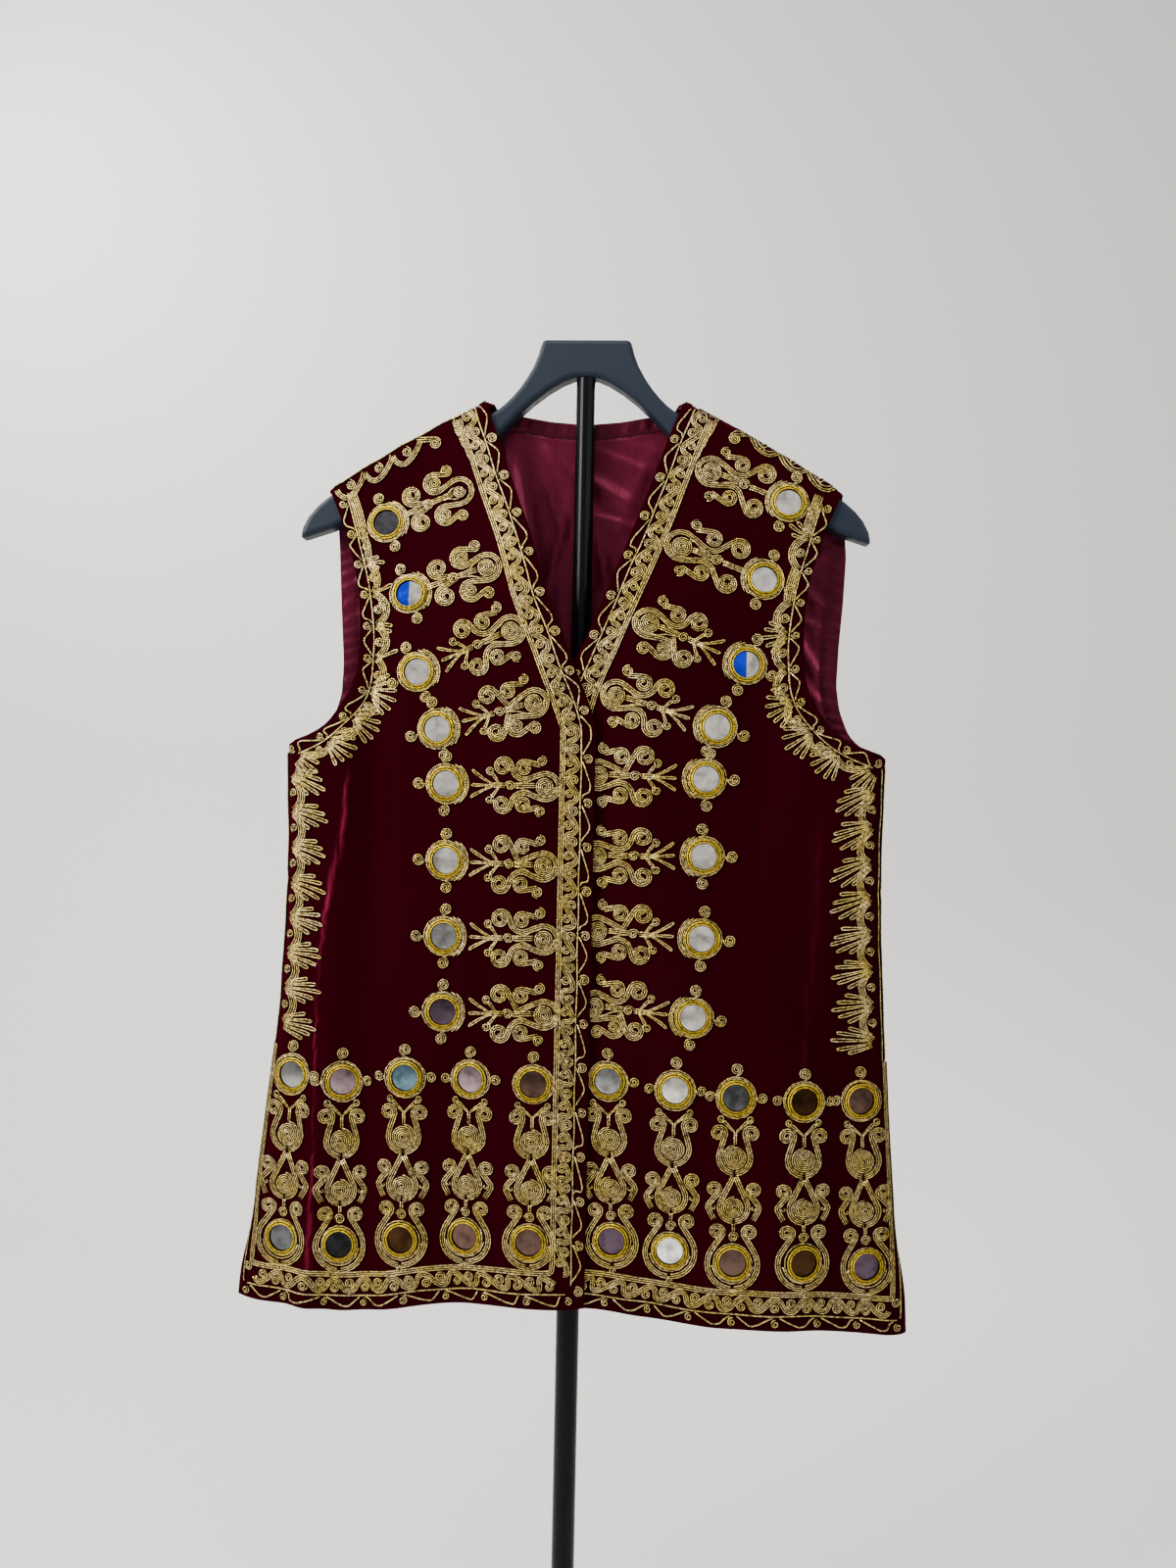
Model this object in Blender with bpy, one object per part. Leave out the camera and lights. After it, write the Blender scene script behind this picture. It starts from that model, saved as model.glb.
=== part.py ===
"""Embroidered velvet vest hanging on a display stand.

The vest is four cloth walls: two fronts that overlap at the centre, a back, and the
satin lining that shows inside the back. Its inner surface is one drape, given by a few
heights, widths and depths. Each wall is a grid of points on that drape, moved outwards
by the layers below it. The gold borders are raised in the outer points of the fronts,
and 36 round mirrors lie on the velvet. The stand is a board shaped like a hanger on a
pole with a round foot.

Axes: +X to the right as seen from the front, +Y to the back, +Z up. The origin is the
middle of the foot's underside. Everything is in metres.
"""

import math

import bmesh
import bpy
import numpy as np
from mathutils import Matrix, Vector
from mathutils.bvhtree import BVHTree

MM = 0.001
GAP = 0.3 * MM

# Layers of cloth, from the inside outwards
LINING_WALL = 1.0 * MM
BACK_WALL = 1.5 * MM
FRONT_WALL = 2.4 * MM
BRAID_RAISE = 1.2 * MM

# Shoulder line of the drape's inner surface
NECK_X, NECK_Z = 79 * MM, 1233.5 * MM
TIP_X, TIP_Z = 212 * MM, 1157.8 * MM
RIDGE_SLOPE = (NECK_Z - TIP_Z) / (TIP_X - NECK_X)
RIDGE_CROWN = 3.0 * MM
RIDGE_FLAT = 5.0 * MM
RIDGE_ROUND = 4.5 * MM
RIDGE_HALF = RIDGE_FLAT + RIDGE_ROUND
RIDGE_CLOTH = RIDGE_FLAT + RIDGE_ROUND * (math.pi / 2 - 1)
HANG_LENGTH = 190 * MM
NECK_REACH = 35 * MM

# Body of the drape
UNDERARM_Z = 945 * MM
SLIT_TOP_Z = 575 * MM
HEM_Z = 500 * MM
SIDE_RADIUS = 15 * MM
SIDE_ARC = SIDE_RADIUS * math.pi / 2
HEM_TURN = 0.25
FRONT_DEPTHS = ((500, 38), (700, 35), (945, 33), (1100, 30))  # height, depth at the middle
BACK_DEPTHS = ((500, 27), (700, 24), (945, 23), (1100, 21))
SIDE_WIDTHS = {  # height, half width of the drape at the side seam
    "right": (
        (492, 266), (535, 262.5), (580, 260), (650, 252), (730, 243),
        (800, 239.5), (870, 238.5), (945, 241),
    ),
    "left": (
        (492, 267), (535, 265), (580, 262), (650, 257), (730, 252),
        (800, 248.5), (870, 247), (945, 249.5),
    ),
}

# Outlines of the fronts: height, distance from the centre line
OVERLAP_PLACE = {"right": -15 * MM, "left": -18 * MM}
NECKLINES = {
    "right": (
        (966, -15), (981, -10.5), (999, -3.5), (1018, 4.5), (1048, 16), (1077, 28),
        (1124, 41.5), (1167, 58), (1196, 68), (1221, 77.5), (1234, 80), (1242, 79),
    ),
    "left": (
        (975, -18), (1000, -11), (1021, -3), (1036, 4.5), (1069, 18), (1109, 34.5),
        (1151, 50.5), (1186, 62.5), (1214, 72.5), (1229, 79), (1236, 80), (1242, 79),
    ),
}
FRONT_ARMHOLE = (
    (948, 247), (951, 239), (956, 222), (965, 206), (978, 194.5), (989, 186), (1003, 181),
    (1030, 180), (1054, 181.5), (1074, 185), (1118, 197), (1150, 207.5), (1163, 212),
)
BACK_ARMHOLES = {
    "right": (
        (948, 247), (952, 241), (960, 227), (973, 211), (991, 205), (1016, 203.5),
        (1060, 205.5), (1115, 207.5), (1145, 209.5), (1163, 212),
    ),
    "left": (
        (948, 250), (951, 243), (957, 233.5), (966, 225), (986, 217), (1006, 214),
        (1039, 215), (1077, 217.5), (1118, 219), (1145, 216.5), (1163, 212),
    ),
}
BACK_NECK = (
    (0, 1222), (30, 1224.5), (50, 1228), (65, 1230), (73, 1231), (76, 1236.5), (79, 1241),
)
HEMLINES = {  # distance from the centre line, height
    "right": (
        (-15, 503), (0, 500.5), (28, 500), (57, 501), (88, 498.5), (117, 497.5), (149, 491),
        (182, 487.5), (216, 490), (248, 489), (275, 491),
    ),
    "left": (
        (-18, 500), (14, 500.5), (40, 499.5), (67, 495), (95, 492.5), (122, 490.5),
        (158, 491), (195, 490), (234, 484.5), (270, 479.5), (278, 482),
    ),
}
HEM_REACH = 150 * MM

# Folds of the fronts: place at the underarm and at the hem, half width, then height above
# the cloth around it at the underarm and at the hem
FOLDS = {
    "right": (
        (187, 213, 13, 3.0, 6.0),
        (165, 165, 16, -3.5, -3.0),
        (100, 88, 26, 0.0, -8.0),
    ),
    "left": (
        (195, 170, 42, 1.0, 9.0),
        (150, 115, 16, -1.5, 1.5),
        (45, 70, 24, 0.0, -4.0),
    ),
}
UNDERLAP_DEPTH = 5.5 * MM
UNDERLAP_EDGE, UNDERLAP_FADE = 18 * MM, 60 * MM
UNDERLAP_TOP, UNDERLAP_END = 1040 * MM, 1140 * MM

# Gold borders: distance from the edge of the front to each side of the raised band
EDGE_BAND = (10 * MM, 35 * MM)
SIDE_BAND = (5 * MM, 27 * MM)
HEM_BAND = (14 * MM, 38 * MM)
BAND_STEP = 1.5 * MM

# Mirrors: length of cloth from the centre line and height of each, down the front edge
# and then in the two rows above the hem
MIRROR_PLACES = {
    "right": (
        (161, 1131), (139, 1071.5), (130.5, 1008), (113, 962), (105, 918), (104, 856),
        (104.5, 795), (104.5, 734), (228.5, 677), (186, 674), (133.5, 680), (80, 680.5),
        (29, 679.5), (234, 543.5), (185.5, 542), (134, 550), (82, 553.5), (30, 554),
    ),
    "left": (
        (167, 1151.5), (147.5, 1087), (134, 1018), (111.5, 967.5), (103.5, 926), (103, 864),
        (102.5, 798.5), (97, 735.5), (30.5, 682.5), (84, 677.5), (132.5, 673), (186, 671),
        (232.5, 670.5), (36, 556), (82.5, 550), (132, 543.5), (187, 544.5), (239.5, 538),
    ),
}
MIRROR_SIDES = 12
MIRROR_PROFILE = (  # radius, height above the velvet: glass, then its padded gold rim
    (10.4, 1.3), (11.3, 2.7), (13.5, 2.7), (14.6, 0.0),
)

# Stand
BOARD_TOP_Z = 1286.5 * MM
BOARD_HALF_THICK = 9 * MM
BOARD_ROUND = 4 * MM
BOARD_ARM = ((79, 8.5), (92, 7.5), (112, 5.5), (140, 3.2), (172, 1.8))  # place, drop below the ridge
BOARD_CROWN_Z = 1255.5 * MM
BOARD_SHOULDER = (  # upper edge of the neck, from the top corner to the arm
    (33.5, 1286.5), (36.5, 1285.3), (38, 1281.5), (40, 1274), (43.5, 1265), (48.5, 1256),
    (54.5, 1247), (61, 1239.2), (67.5, 1232.8), (73, 1228.5),
)
BOARD_TIP = (
    (205, 1160.3), (214, 1154.3), (222.5, 1147), (229.5, 1138.5), (234, 1129.5),
    (236, 1119.5),
)
BOARD_UNDERSIDE = (
    (209, 1128.5), (73, 1204.5), (64, 1214.5), (54.5, 1224.5), (43, 1235),
    (30.5, 1244.5), (19, 1251.5), (9.5, 1255.5),
)
UPPER_TUBE_R, LOWER_TUBE_R = 8.0 * MM, 9.5 * MM
SPIGOT_R, SPIGOT_LENGTH = 4.5 * MM, 22 * MM
TUBE_JOINT_Z = 760 * MM
SOCKET_DEPTH = 60 * MM
FOOT_R, FOOT_THICK = 145 * MM, 8 * MM
BOSS_R, BOSS_TOP_Z = 19 * MM, 30 * MM
ROUND_STEPS = 24
FOOT_STEPS = 48


def column(table, index):
    """One column of a table in millimetres, in metres."""
    return np.array([row[index] for row in table]) * MM


def looked_up(table, where):
    """Second column of the table at the given values of the first."""
    return np.interp(where, column(table, 0), column(table, 1))


def smooth(share):
    """0 to 1 with flat ends."""
    share = np.clip(share, 0.0, 1.0)
    return share * share * (3.0 - 2.0 * share)


# ---------------------------------------------------------------- the drape


def ridge_height(x):
    """Height of the shoulder ridge above a distance from the centre line."""
    past_neck = np.maximum(x - NECK_X, 0.0)
    share = np.clip(past_neck / (TIP_X - NECK_X), 0.0, 1.2)
    return NECK_Z - RIDGE_SLOPE * past_neck + 4 * RIDGE_CROWN * share * (1 - share)


def drape_top(x):
    """The ridge, which runs straight on for a way inside the neckline."""
    slope = RIDGE_SLOPE - 4 * RIDGE_CROWN / (TIP_X - NECK_X)
    return ridge_height(x) + slope * np.clip(NECK_X - x, 0.0, NECK_REACH)


def over_the_ridge(cloth):
    """Drop below the ridge and depth in front of it, after a length of cloth."""
    turn = np.clip((cloth - RIDGE_FLAT) / RIDGE_ROUND, 0.0, math.pi / 2)
    below = np.maximum(cloth - RIDGE_FLAT - RIDGE_ROUND * math.pi / 2, 0.0)
    drop = RIDGE_ROUND * (1 - np.cos(turn)) + below
    depth = np.minimum(cloth, RIDGE_FLAT) + RIDGE_ROUND * np.sin(turn)
    return drop, depth


def fold_depth(side, x, height):
    """How far the folds of a front stand out."""
    share = (UNDERARM_Z - height) / (UNDERARM_Z - HEM_Z)
    fade = smooth((1090 * MM - height) / (140 * MM))
    depth = np.zeros_like(x)
    for top_x, hem_x, half_width, top_depth, hem_depth in FOLDS[side]:
        middle = (top_x + (hem_x - top_x) * share) * MM
        rise = (top_depth + (hem_depth - top_depth) * np.clip(share, 0, 1)) * MM
        depth = depth + rise * np.exp(-(((x - middle) / (half_width * MM)) ** 2))
    return depth * fade


def drape(side, is_front, along, height):
    """Points of the inner surface.

    along is the length of cloth from the centre line, outwards, and height is the
    height of the cloth, which runs on over the ridge as if the cloth were unrolled.
    """
    half_width = looked_up(SIDE_WIDTHS[side], height)
    flat = half_width - SIDE_RADIUS
    turned = 1 - (1 - HEM_TURN) * smooth((SLIT_TOP_Z - height) / (SLIT_TOP_Z - HEM_Z))
    radius = SIDE_RADIUS / turned
    angle = np.maximum(along - flat, 0.0) / radius
    x = np.minimum(along, flat) + radius * np.sin(angle)
    side_depth = SIDE_RADIUS - radius * (1 - np.cos(angle))

    depths = FRONT_DEPTHS if is_front else BACK_DEPTHS
    crown = looked_up(depths, height) - SIDE_RADIUS
    full = side_depth + crown * (1 - (x / half_width) ** 2)
    if is_front:
        full = full + fold_depth(side, x, height)
        if side == "left":
            near = 1 - smooth((x - UNDERLAP_EDGE) / (UNDERLAP_FADE - UNDERLAP_EDGE))
            low = smooth((UNDERLAP_END - height) / (UNDERLAP_END - UNDERLAP_TOP))
            full = full - UNDERLAP_DEPTH * near * low

    cloth = drape_top(x) + RIDGE_CLOTH - height
    drop, wrap = over_the_ridge(cloth)
    depth = wrap + (full - RIDGE_HALF) * smooth(cloth / HANG_LENGTH)
    sign_x = -1.0 if side == "right" else 1.0
    sign_y = -1.0 if is_front else 1.0
    return np.stack([sign_x * x, sign_y * depth, drape_top(x) - drop], axis=-1)


def outward(side, is_front, along, height):
    """Unit normals of the drape, pointing away from the wearer."""
    step = 0.4 * MM
    across = drape(side, is_front, along + step, height) - drape(
        side, is_front, along - step, height
    )
    upward = drape(side, is_front, along, height + step) - drape(
        side, is_front, along, height - step
    )
    normal = np.cross(across, upward)
    normal /= np.linalg.norm(normal, axis=-1, keepdims=True)
    flip = (side == "right") != (not is_front)
    return -normal if flip else normal


def layer(side, is_front, along, height, lift):
    """Points of the drape, moved outwards by lift."""
    base = drape(side, is_front, along, height)
    return base + outward(side, is_front, along, height) * np.asarray(lift)[..., None]


# ---------------------------------------------------------------- outlines


def side_seam(side, height):
    """Length of cloth from the centre line to the side seam."""
    half_width = looked_up(SIDE_WIDTHS[side], height)
    return half_width - SIDE_RADIUS + SIDE_ARC - GAP / 2


def outer_edge(side, armhole, height):
    """Length of cloth from the centre line to the side seam or the armhole."""
    seam = side_seam(side, np.minimum(height, UNDERARM_Z))
    return np.where(
        height <= UNDERARM_Z, seam, np.minimum(looked_up(armhole, height), seam)
    )


def inner_edge(side, height):
    """Distance from the centre line to a front's edge, negative past the centre."""
    line = NECKLINES[side]
    straight = OVERLAP_PLACE[side]
    return np.where(height < line[0][0] * MM, straight, looked_up(line, height))


def band_lines(length, first, last, middle_lines):
    """Places of grid lines across a length, close together at the bands' steps."""
    start, end = first
    opening = [0.0, start, start + BAND_STEP, end - BAND_STEP, end]
    start, end = last
    closing = [length - place for place in (end, end - BAND_STEP, start + BAND_STEP, start)]
    middle = np.linspace(opening[-1], closing[0], middle_lines + 2)[1:-1]
    return np.concatenate([opening, middle, closing, [length]])


BACK_COLUMNS = 12
BACK_ROWS = 9
NECK_COLUMNS = (20, 38, 54, 65, 73, 76)
LINING_INSET = 1.5 * MM
BODY_HEIGHTS = np.arange(575, 930, 34) * MM
YOKE_SHARES = (0.0, 0.03, 0.08, 0.15, 0.25, 0.38, 0.53, 0.68, 0.84, 1.0)
RIDGE_ROWS = (38, 25, 17, 12.1, 9.7, 7.4, 5, 1.65, GAP / 2 / MM)  # distance from the ridge
RIDGE_ZONE = 55 * MM
FRONT_MIDDLE_LINES = 10


def shoulder_top(x):
    """Height, as cloth, of the shoulder seam above a distance from the centre line."""
    return ridge_height(x) + RIDGE_CLOTH


def yoke_rows():
    """Rows above the underarm: share of the way to the ridge zone, distance from the ridge."""
    rising = [(share, None) for share in YOKE_SHARES]
    return rising + [(None, distance * MM) for distance in RIDGE_ROWS]


def row_height(row, top):
    """Height of a row above the underarm where the cloth's top edge is at a height."""
    share, distance = row
    if distance is None:
        return UNDERARM_Z + share * (top - RIDGE_ZONE - UNDERARM_Z)
    return top - distance


def front_grid(side):
    """Length, height and lift of each point of a front: rows from the hem upwards."""
    hem_rows = [0.0, HEM_BAND[0], HEM_BAND[0] + BAND_STEP, HEM_BAND[1] - BAND_STEP, HEM_BAND[1]]
    body = [HEM_Z + rise for rise in hem_rows] + list(BODY_HEIGHTS)
    rows = [(height, None) for height in body] + [(None, row) for row in yoke_rows()]
    alongs, heights, lifts = [], [], []
    for number, (level, row) in enumerate(rows):
        if row is None:
            inner_height = outer_height = level
        else:
            inner_height = float(row_height(row, shoulder_top(NECK_X)))
            outer_height = float(row_height(row, shoulder_top(TIP_X)))
        outer = float(outer_edge(side, FRONT_ARMHOLE, outer_height))
        inner = float(inner_edge(side, inner_height))
        places = band_lines(outer - inner, EDGE_BAND, SIDE_BAND, FRONT_MIDDLE_LINES)
        along = inner + places
        if row is None:
            hem = looked_up(HEMLINES[side], along) - HEM_Z
            height = level + hem * (1 - smooth((level - HEM_Z) / HEM_REACH))
        else:
            height = row_height(row, shoulder_top(along))
        on_hem_band = number in (2, 3)
        on_edge_band = 2 <= number < len(rows) - 4
        raised = np.zeros(len(places), bool)
        raised[[2, 3, -4, -3]] = on_edge_band
        raised[2:-2] |= on_hem_band
        alongs.append(along)
        heights.append(height)
        lifts.append(np.where(raised, FRONT_WALL + BRAID_RAISE, FRONT_WALL))
    return np.array(alongs), np.array(heights), np.array(lifts)


def spread_across(right, left, near_top):
    """Places across the back, signed, with a narrow margin at each edge."""
    halves = []
    for edge in (right, left):
        inside = edge - LINING_INSET
        top = [0.0] + [place * MM for place in NECK_COLUMNS]
        top += list(np.linspace(NECK_X, inside, BACK_COLUMNS + 1 - len(top)))
        even = np.linspace(0, inside, BACK_COLUMNS + 1)
        halves.append(np.append(even + (np.array(top) - even) * near_top, edge))
    return np.concatenate([-halves[0][:0:-1], halves[1]])


def back_grid():
    """Signed length and height of each point of the back: rows from the hem upwards."""
    alongs, heights = [], []
    body = np.linspace(HEM_Z + LINING_INSET, UNDERARM_Z, BACK_ROWS + 1)[:-1]
    for height in np.concatenate([[HEM_Z], body]):
        along = spread_across(side_seam("right", height), side_seam("left", height), 0.0)
        alongs.append(along)
        heights.append(np.full(len(along), height))
    tip_top = float(shoulder_top(TIP_X))
    for row in yoke_rows():
        edge_height = float(row_height(row, tip_top))
        along = spread_across(
            float(outer_edge("right", BACK_ARMHOLES["right"], edge_height)),
            float(outer_edge("left", BACK_ARMHOLES["left"], edge_height)),
            smooth((edge_height - UNDERARM_Z) / (tip_top - RIDGE_ZONE - UNDERARM_Z)),
        )
        distance = np.abs(along)
        top = np.where(
            distance < NECK_X, looked_up(BACK_NECK, distance), shoulder_top(distance)
        )
        alongs.append(along)
        heights.append(row_height(row, top))
    return np.array(alongs), np.array(heights)


def back_layer(along, height, lift):
    """Points of the whole back: each half on its own side of the drape."""
    right = layer("right", False, np.abs(along), height, lift)
    left = layer("left", False, np.abs(along), height, lift)
    middle = (right + left) / 2
    middle[..., 0] = 0.0
    points = np.where((along < 0)[..., None], right, left)
    return np.where((np.abs(along) < 1e-9)[..., None], middle, points)


# ---------------------------------------------------------------- making solids


def material(name, colour, roughness, metallic=0.0):
    made = bpy.data.materials.new(name)
    made.use_nodes = True
    shader = made.node_tree.nodes["Principled BSDF"]
    shader.inputs["Base Color"].default_value = (*colour, 1.0)
    shader.inputs["Roughness"].default_value = roughness
    shader.inputs["Metallic"].default_value = metallic
    return made


def add_object(name, mesh, finish):
    made = bpy.data.objects.new(name, mesh)
    bpy.context.scene.collection.objects.link(made)
    mesh.materials.append(finish)
    return made


def round_shaded(mesh, angle=40):
    mesh.shade_smooth()
    mesh.set_sharp_from_angle(angle=math.radians(angle))


def wall(name, inner, outer, finish):
    """A closed wall between two grids of points."""
    rows, columns = inner.shape[:2]
    count = rows * columns
    points = np.concatenate([inner.reshape(-1, 3), outer.reshape(-1, 3)])
    at = np.arange(count).reshape(rows, columns)
    faces = []
    for row in range(rows - 1):
        for place in range(columns - 1):
            low, high = at[row, place : place + 2], at[row + 1, place : place + 2]
            for half in ((low[0], low[1], high[1]), (low[0], high[1], high[0])):
                faces.append(half)
                faces.append([corner + count for corner in reversed(half)])
    rim = list(at[0, :]) + list(at[1:, -1]) + list(at[-1, -2::-1]) + list(at[-2:0:-1, 0])
    for here, there in zip(rim, rim[1:] + rim[:1]):
        faces.append([there, here, here + count, there + count])
    mesh = bpy.data.meshes.new(name)
    mesh.from_pydata(points.tolist(), [], [[int(corner) for corner in face] for face in faces])
    shape = bmesh.new()
    shape.from_mesh(mesh)
    bmesh.ops.recalc_face_normals(shape, faces=shape.faces)
    if shape.calc_volume(signed=True) < 0:
        bmesh.ops.reverse_faces(shape, faces=shape.faces)
    shape.to_mesh(mesh)
    shape.free()
    round_shaded(mesh)
    return add_object(name, mesh, finish)


def turned(name, profile, steps, finish):
    """A solid of revolution about Z; the profile runs from the axis to the axis."""
    shape = bmesh.new()
    corners = [shape.verts.new((radius, 0, height)) for radius, height in profile]
    edges = [shape.edges.new(pair) for pair in zip(corners, corners[1:])]
    bmesh.ops.spin(
        shape,
        geom=corners + edges,
        cent=(0, 0, 0),
        axis=(0, 0, 1),
        angle=2 * math.pi,
        steps=steps,
        use_merge=True,
    )
    bmesh.ops.remove_doubles(shape, verts=shape.verts, dist=1e-6)
    bmesh.ops.recalc_face_normals(shape, faces=shape.faces)
    mesh = bpy.data.meshes.new(name)
    shape.to_mesh(mesh)
    shape.free()
    round_shaded(mesh)
    return add_object(name, mesh, finish)


# ---------------------------------------------------------------- the vest


def make_front(side, finish):
    along, height, lift = front_grid(side)
    inner = layer(side, True, along, height, np.zeros_like(lift))
    outer = layer(side, True, along, height, lift)
    return wall("front_" + side, inner, outer, finish)


def make_back(finish):
    along, height = back_grid()
    start = np.full_like(along, LINING_WALL + GAP)
    return wall(
        "back",
        back_layer(along, height, start),
        back_layer(along, height, start + BACK_WALL),
        finish,
    )


def make_lining(finish):
    """The lining lies inside the back, on the same grid, a little short of its edges."""
    along, height = back_grid()
    along, height = along[1:-1, 1:-1], height[1:-1, 1:-1]
    inner = back_layer(along, height, np.zeros_like(along))
    outer = back_layer(along, height, np.full_like(along, LINING_WALL))
    return wall("back_lining", inner, outer, finish)


def cloth_touch(surface, middle, normal, radius):
    """How far a disc's plane must stand off so that it just clears the cloth under it."""
    turn = normal.to_track_quat("Z", "Y")
    reach = 40 * MM
    highest = -reach
    for share in (0.0, 0.4, 0.7, 1.0, 1.04):
        for step in range(24):
            angle = step * math.tau / 24
            flat = Vector((math.cos(angle), math.sin(angle), 0)) * radius * share
            start = middle + turn @ flat + normal * reach
            hit = surface.ray_cast(start, -normal, 2 * reach)
            if hit[0] is not None:
                highest = max(highest, reach - hit[3])
    return highest


def make_mirrors(side, front, finish):
    """Round mirrors in padded rims, each flat on the highest cloth under it."""
    graph = bpy.context.evaluated_depsgraph_get()
    surface = BVHTree.FromObject(front, graph)
    profile = [(0.0, MIRROR_PROFILE[0][1] * MM)]
    profile += [(radius * MM, height * MM) for radius, height in MIRROR_PROFILE]
    profile.append((0.0, 0.0))
    radius = MIRROR_PROFILE[-1][0] * MM
    for number, (x, z) in enumerate(MIRROR_PLACES[side], start=1):
        along = np.array([x * MM])
        height = np.array([z * MM])
        middle = Vector(layer(side, True, along, height, np.array([FRONT_WALL]))[0])
        normal = Vector(outward(side, True, along, height)[0])
        lift = cloth_touch(surface, middle, normal, radius) + GAP
        mirror = turned(f"mirror_{side}_{number:02d}", profile, MIRROR_SIDES, finish)
        mirror.location = middle + normal * lift
        mirror.rotation_mode = "QUATERNION"
        mirror.rotation_quaternion = normal.to_track_quat("Z", "Y")


# ---------------------------------------------------------------- the stand


def board_outline():
    """The board seen from the front, once round."""
    arm = [(place, float(ridge_height(place * MM)) / MM - drop) for place, drop in BOARD_ARM]
    half = list(BOARD_SHOULDER) + arm + list(BOARD_TIP) + list(BOARD_UNDERSIDE)
    mirrored = [(-x, z) for x, z in reversed(half)]
    return [(x * MM, z * MM) for x, z in half + mirrored]


def make_board(finish):
    """A flat board with an arched underside and a hole for the pole's spigot."""
    shape = bmesh.new()
    corners = [shape.verts.new((x, -BOARD_HALF_THICK, z)) for x, z in board_outline()]
    face = shape.faces.new(corners)
    swept = bmesh.ops.extrude_face_region(shape, geom=[face])
    moved = [item for item in swept["geom"] if isinstance(item, bmesh.types.BMVert)]
    bmesh.ops.translate(shape, verts=moved, vec=(0, 2 * BOARD_HALF_THICK, 0))
    bmesh.ops.recalc_face_normals(shape, faces=shape.faces)
    mesh = bpy.data.meshes.new("stand_board")
    shape.to_mesh(mesh)
    shape.free()
    board = add_object("stand_board", mesh, finish)

    rounding = board.modifiers.new("rounded_edges", "BEVEL")
    rounding.width = BOARD_ROUND
    rounding.segments = 3
    rounding.limit_method = "ANGLE"
    rounding.angle_limit = math.radians(60)
    rounding.use_clamp_overlap = False

    drill = turned(
        "spigot_hole",
        [
            (0.0, BOARD_CROWN_Z + SPIGOT_LENGTH + GAP),
            (SPIGOT_R + GAP, BOARD_CROWN_Z + SPIGOT_LENGTH + GAP),
            (SPIGOT_R + GAP, BOARD_CROWN_Z - 5 * MM),
            (0.0, BOARD_CROWN_Z - 5 * MM),
        ],
        ROUND_STEPS,
        finish,
    )
    drill.hide_render = True
    drill.display_type = "WIRE"
    hole = board.modifiers.new("spigot_hole", "BOOLEAN")
    hole.operation = "DIFFERENCE"
    hole.object = drill
    return board


def make_pole(finish):
    """Two tubes: the thinner one stands in the thicker one and carries the board."""
    top = BOARD_CROWN_Z - GAP
    turned(
        "stand_upper_tube",
        [
            (0.0, BOARD_CROWN_Z + SPIGOT_LENGTH - GAP),
            (SPIGOT_R, BOARD_CROWN_Z + SPIGOT_LENGTH - GAP),
            (SPIGOT_R, top),
            (UPPER_TUBE_R, top),
            (UPPER_TUBE_R, TUBE_JOINT_Z - SOCKET_DEPTH + GAP),
            (0.0, TUBE_JOINT_Z - SOCKET_DEPTH + GAP),
        ],
        ROUND_STEPS,
        finish,
    )
    foot_socket = FOOT_THICK + GAP
    turned(
        "stand_lower_tube",
        [
            (0.0, TUBE_JOINT_Z - SOCKET_DEPTH),
            (UPPER_TUBE_R + GAP, TUBE_JOINT_Z - SOCKET_DEPTH),
            (UPPER_TUBE_R + GAP, TUBE_JOINT_Z),
            (LOWER_TUBE_R, TUBE_JOINT_Z),
            (LOWER_TUBE_R, foot_socket),
            (0.0, foot_socket),
        ],
        ROUND_STEPS,
        finish,
    )


def make_foot(finish):
    """A round plate with a boss whose socket holds the pole."""
    edge = 2 * MM
    turned(
        "stand_foot",
        [
            (0.0, FOOT_THICK),
            (LOWER_TUBE_R + GAP, FOOT_THICK),
            (LOWER_TUBE_R + GAP, BOSS_TOP_Z),
            (BOSS_R - edge, BOSS_TOP_Z),
            (BOSS_R, BOSS_TOP_Z - edge),
            (BOSS_R, FOOT_THICK),
            (FOOT_R - edge, FOOT_THICK),
            (FOOT_R, FOOT_THICK - edge),
            (FOOT_R, 0.0),
            (0.0, 0.0),
        ],
        FOOT_STEPS,
        finish,
    )


def clear_scene():
    for item in list(bpy.data.objects):
        bpy.data.objects.remove(item)


def main():
    clear_scene()
    velvet = material("wine_velvet", (0.085, 0.004, 0.016), 0.85)
    satin = material("wine_satin", (0.17, 0.012, 0.035), 0.4)
    glass = material("mirror_glass", (0.72, 0.71, 0.68), 0.05, 1.0)
    lacquer = material("black_lacquer", (0.012, 0.014, 0.018), 0.45)
    steel = material("black_steel", (0.008, 0.008, 0.009), 0.35)

    for side in ("right", "left"):
        front = make_front(side, velvet)
        make_mirrors(side, front, glass)
    make_back(velvet)
    make_lining(satin)
    make_board(lacquer)
    make_pole(steel)
    make_foot(steel)


main()
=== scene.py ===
"""The looks of the embroidered vest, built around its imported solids.

The velvet and the lining are thin shells on the same drape as the solids. The gold cord
is laid out flat, in millimetres, and then carried onto the drape. A place on the cloth is
(along, height): along is the length of cloth outwards from the centre line, height its
height. Sizes are in millimetres until a mesh is made.
"""

import math

import bpy
import numpy as np
from mathutils import Matrix, Vector


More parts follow.
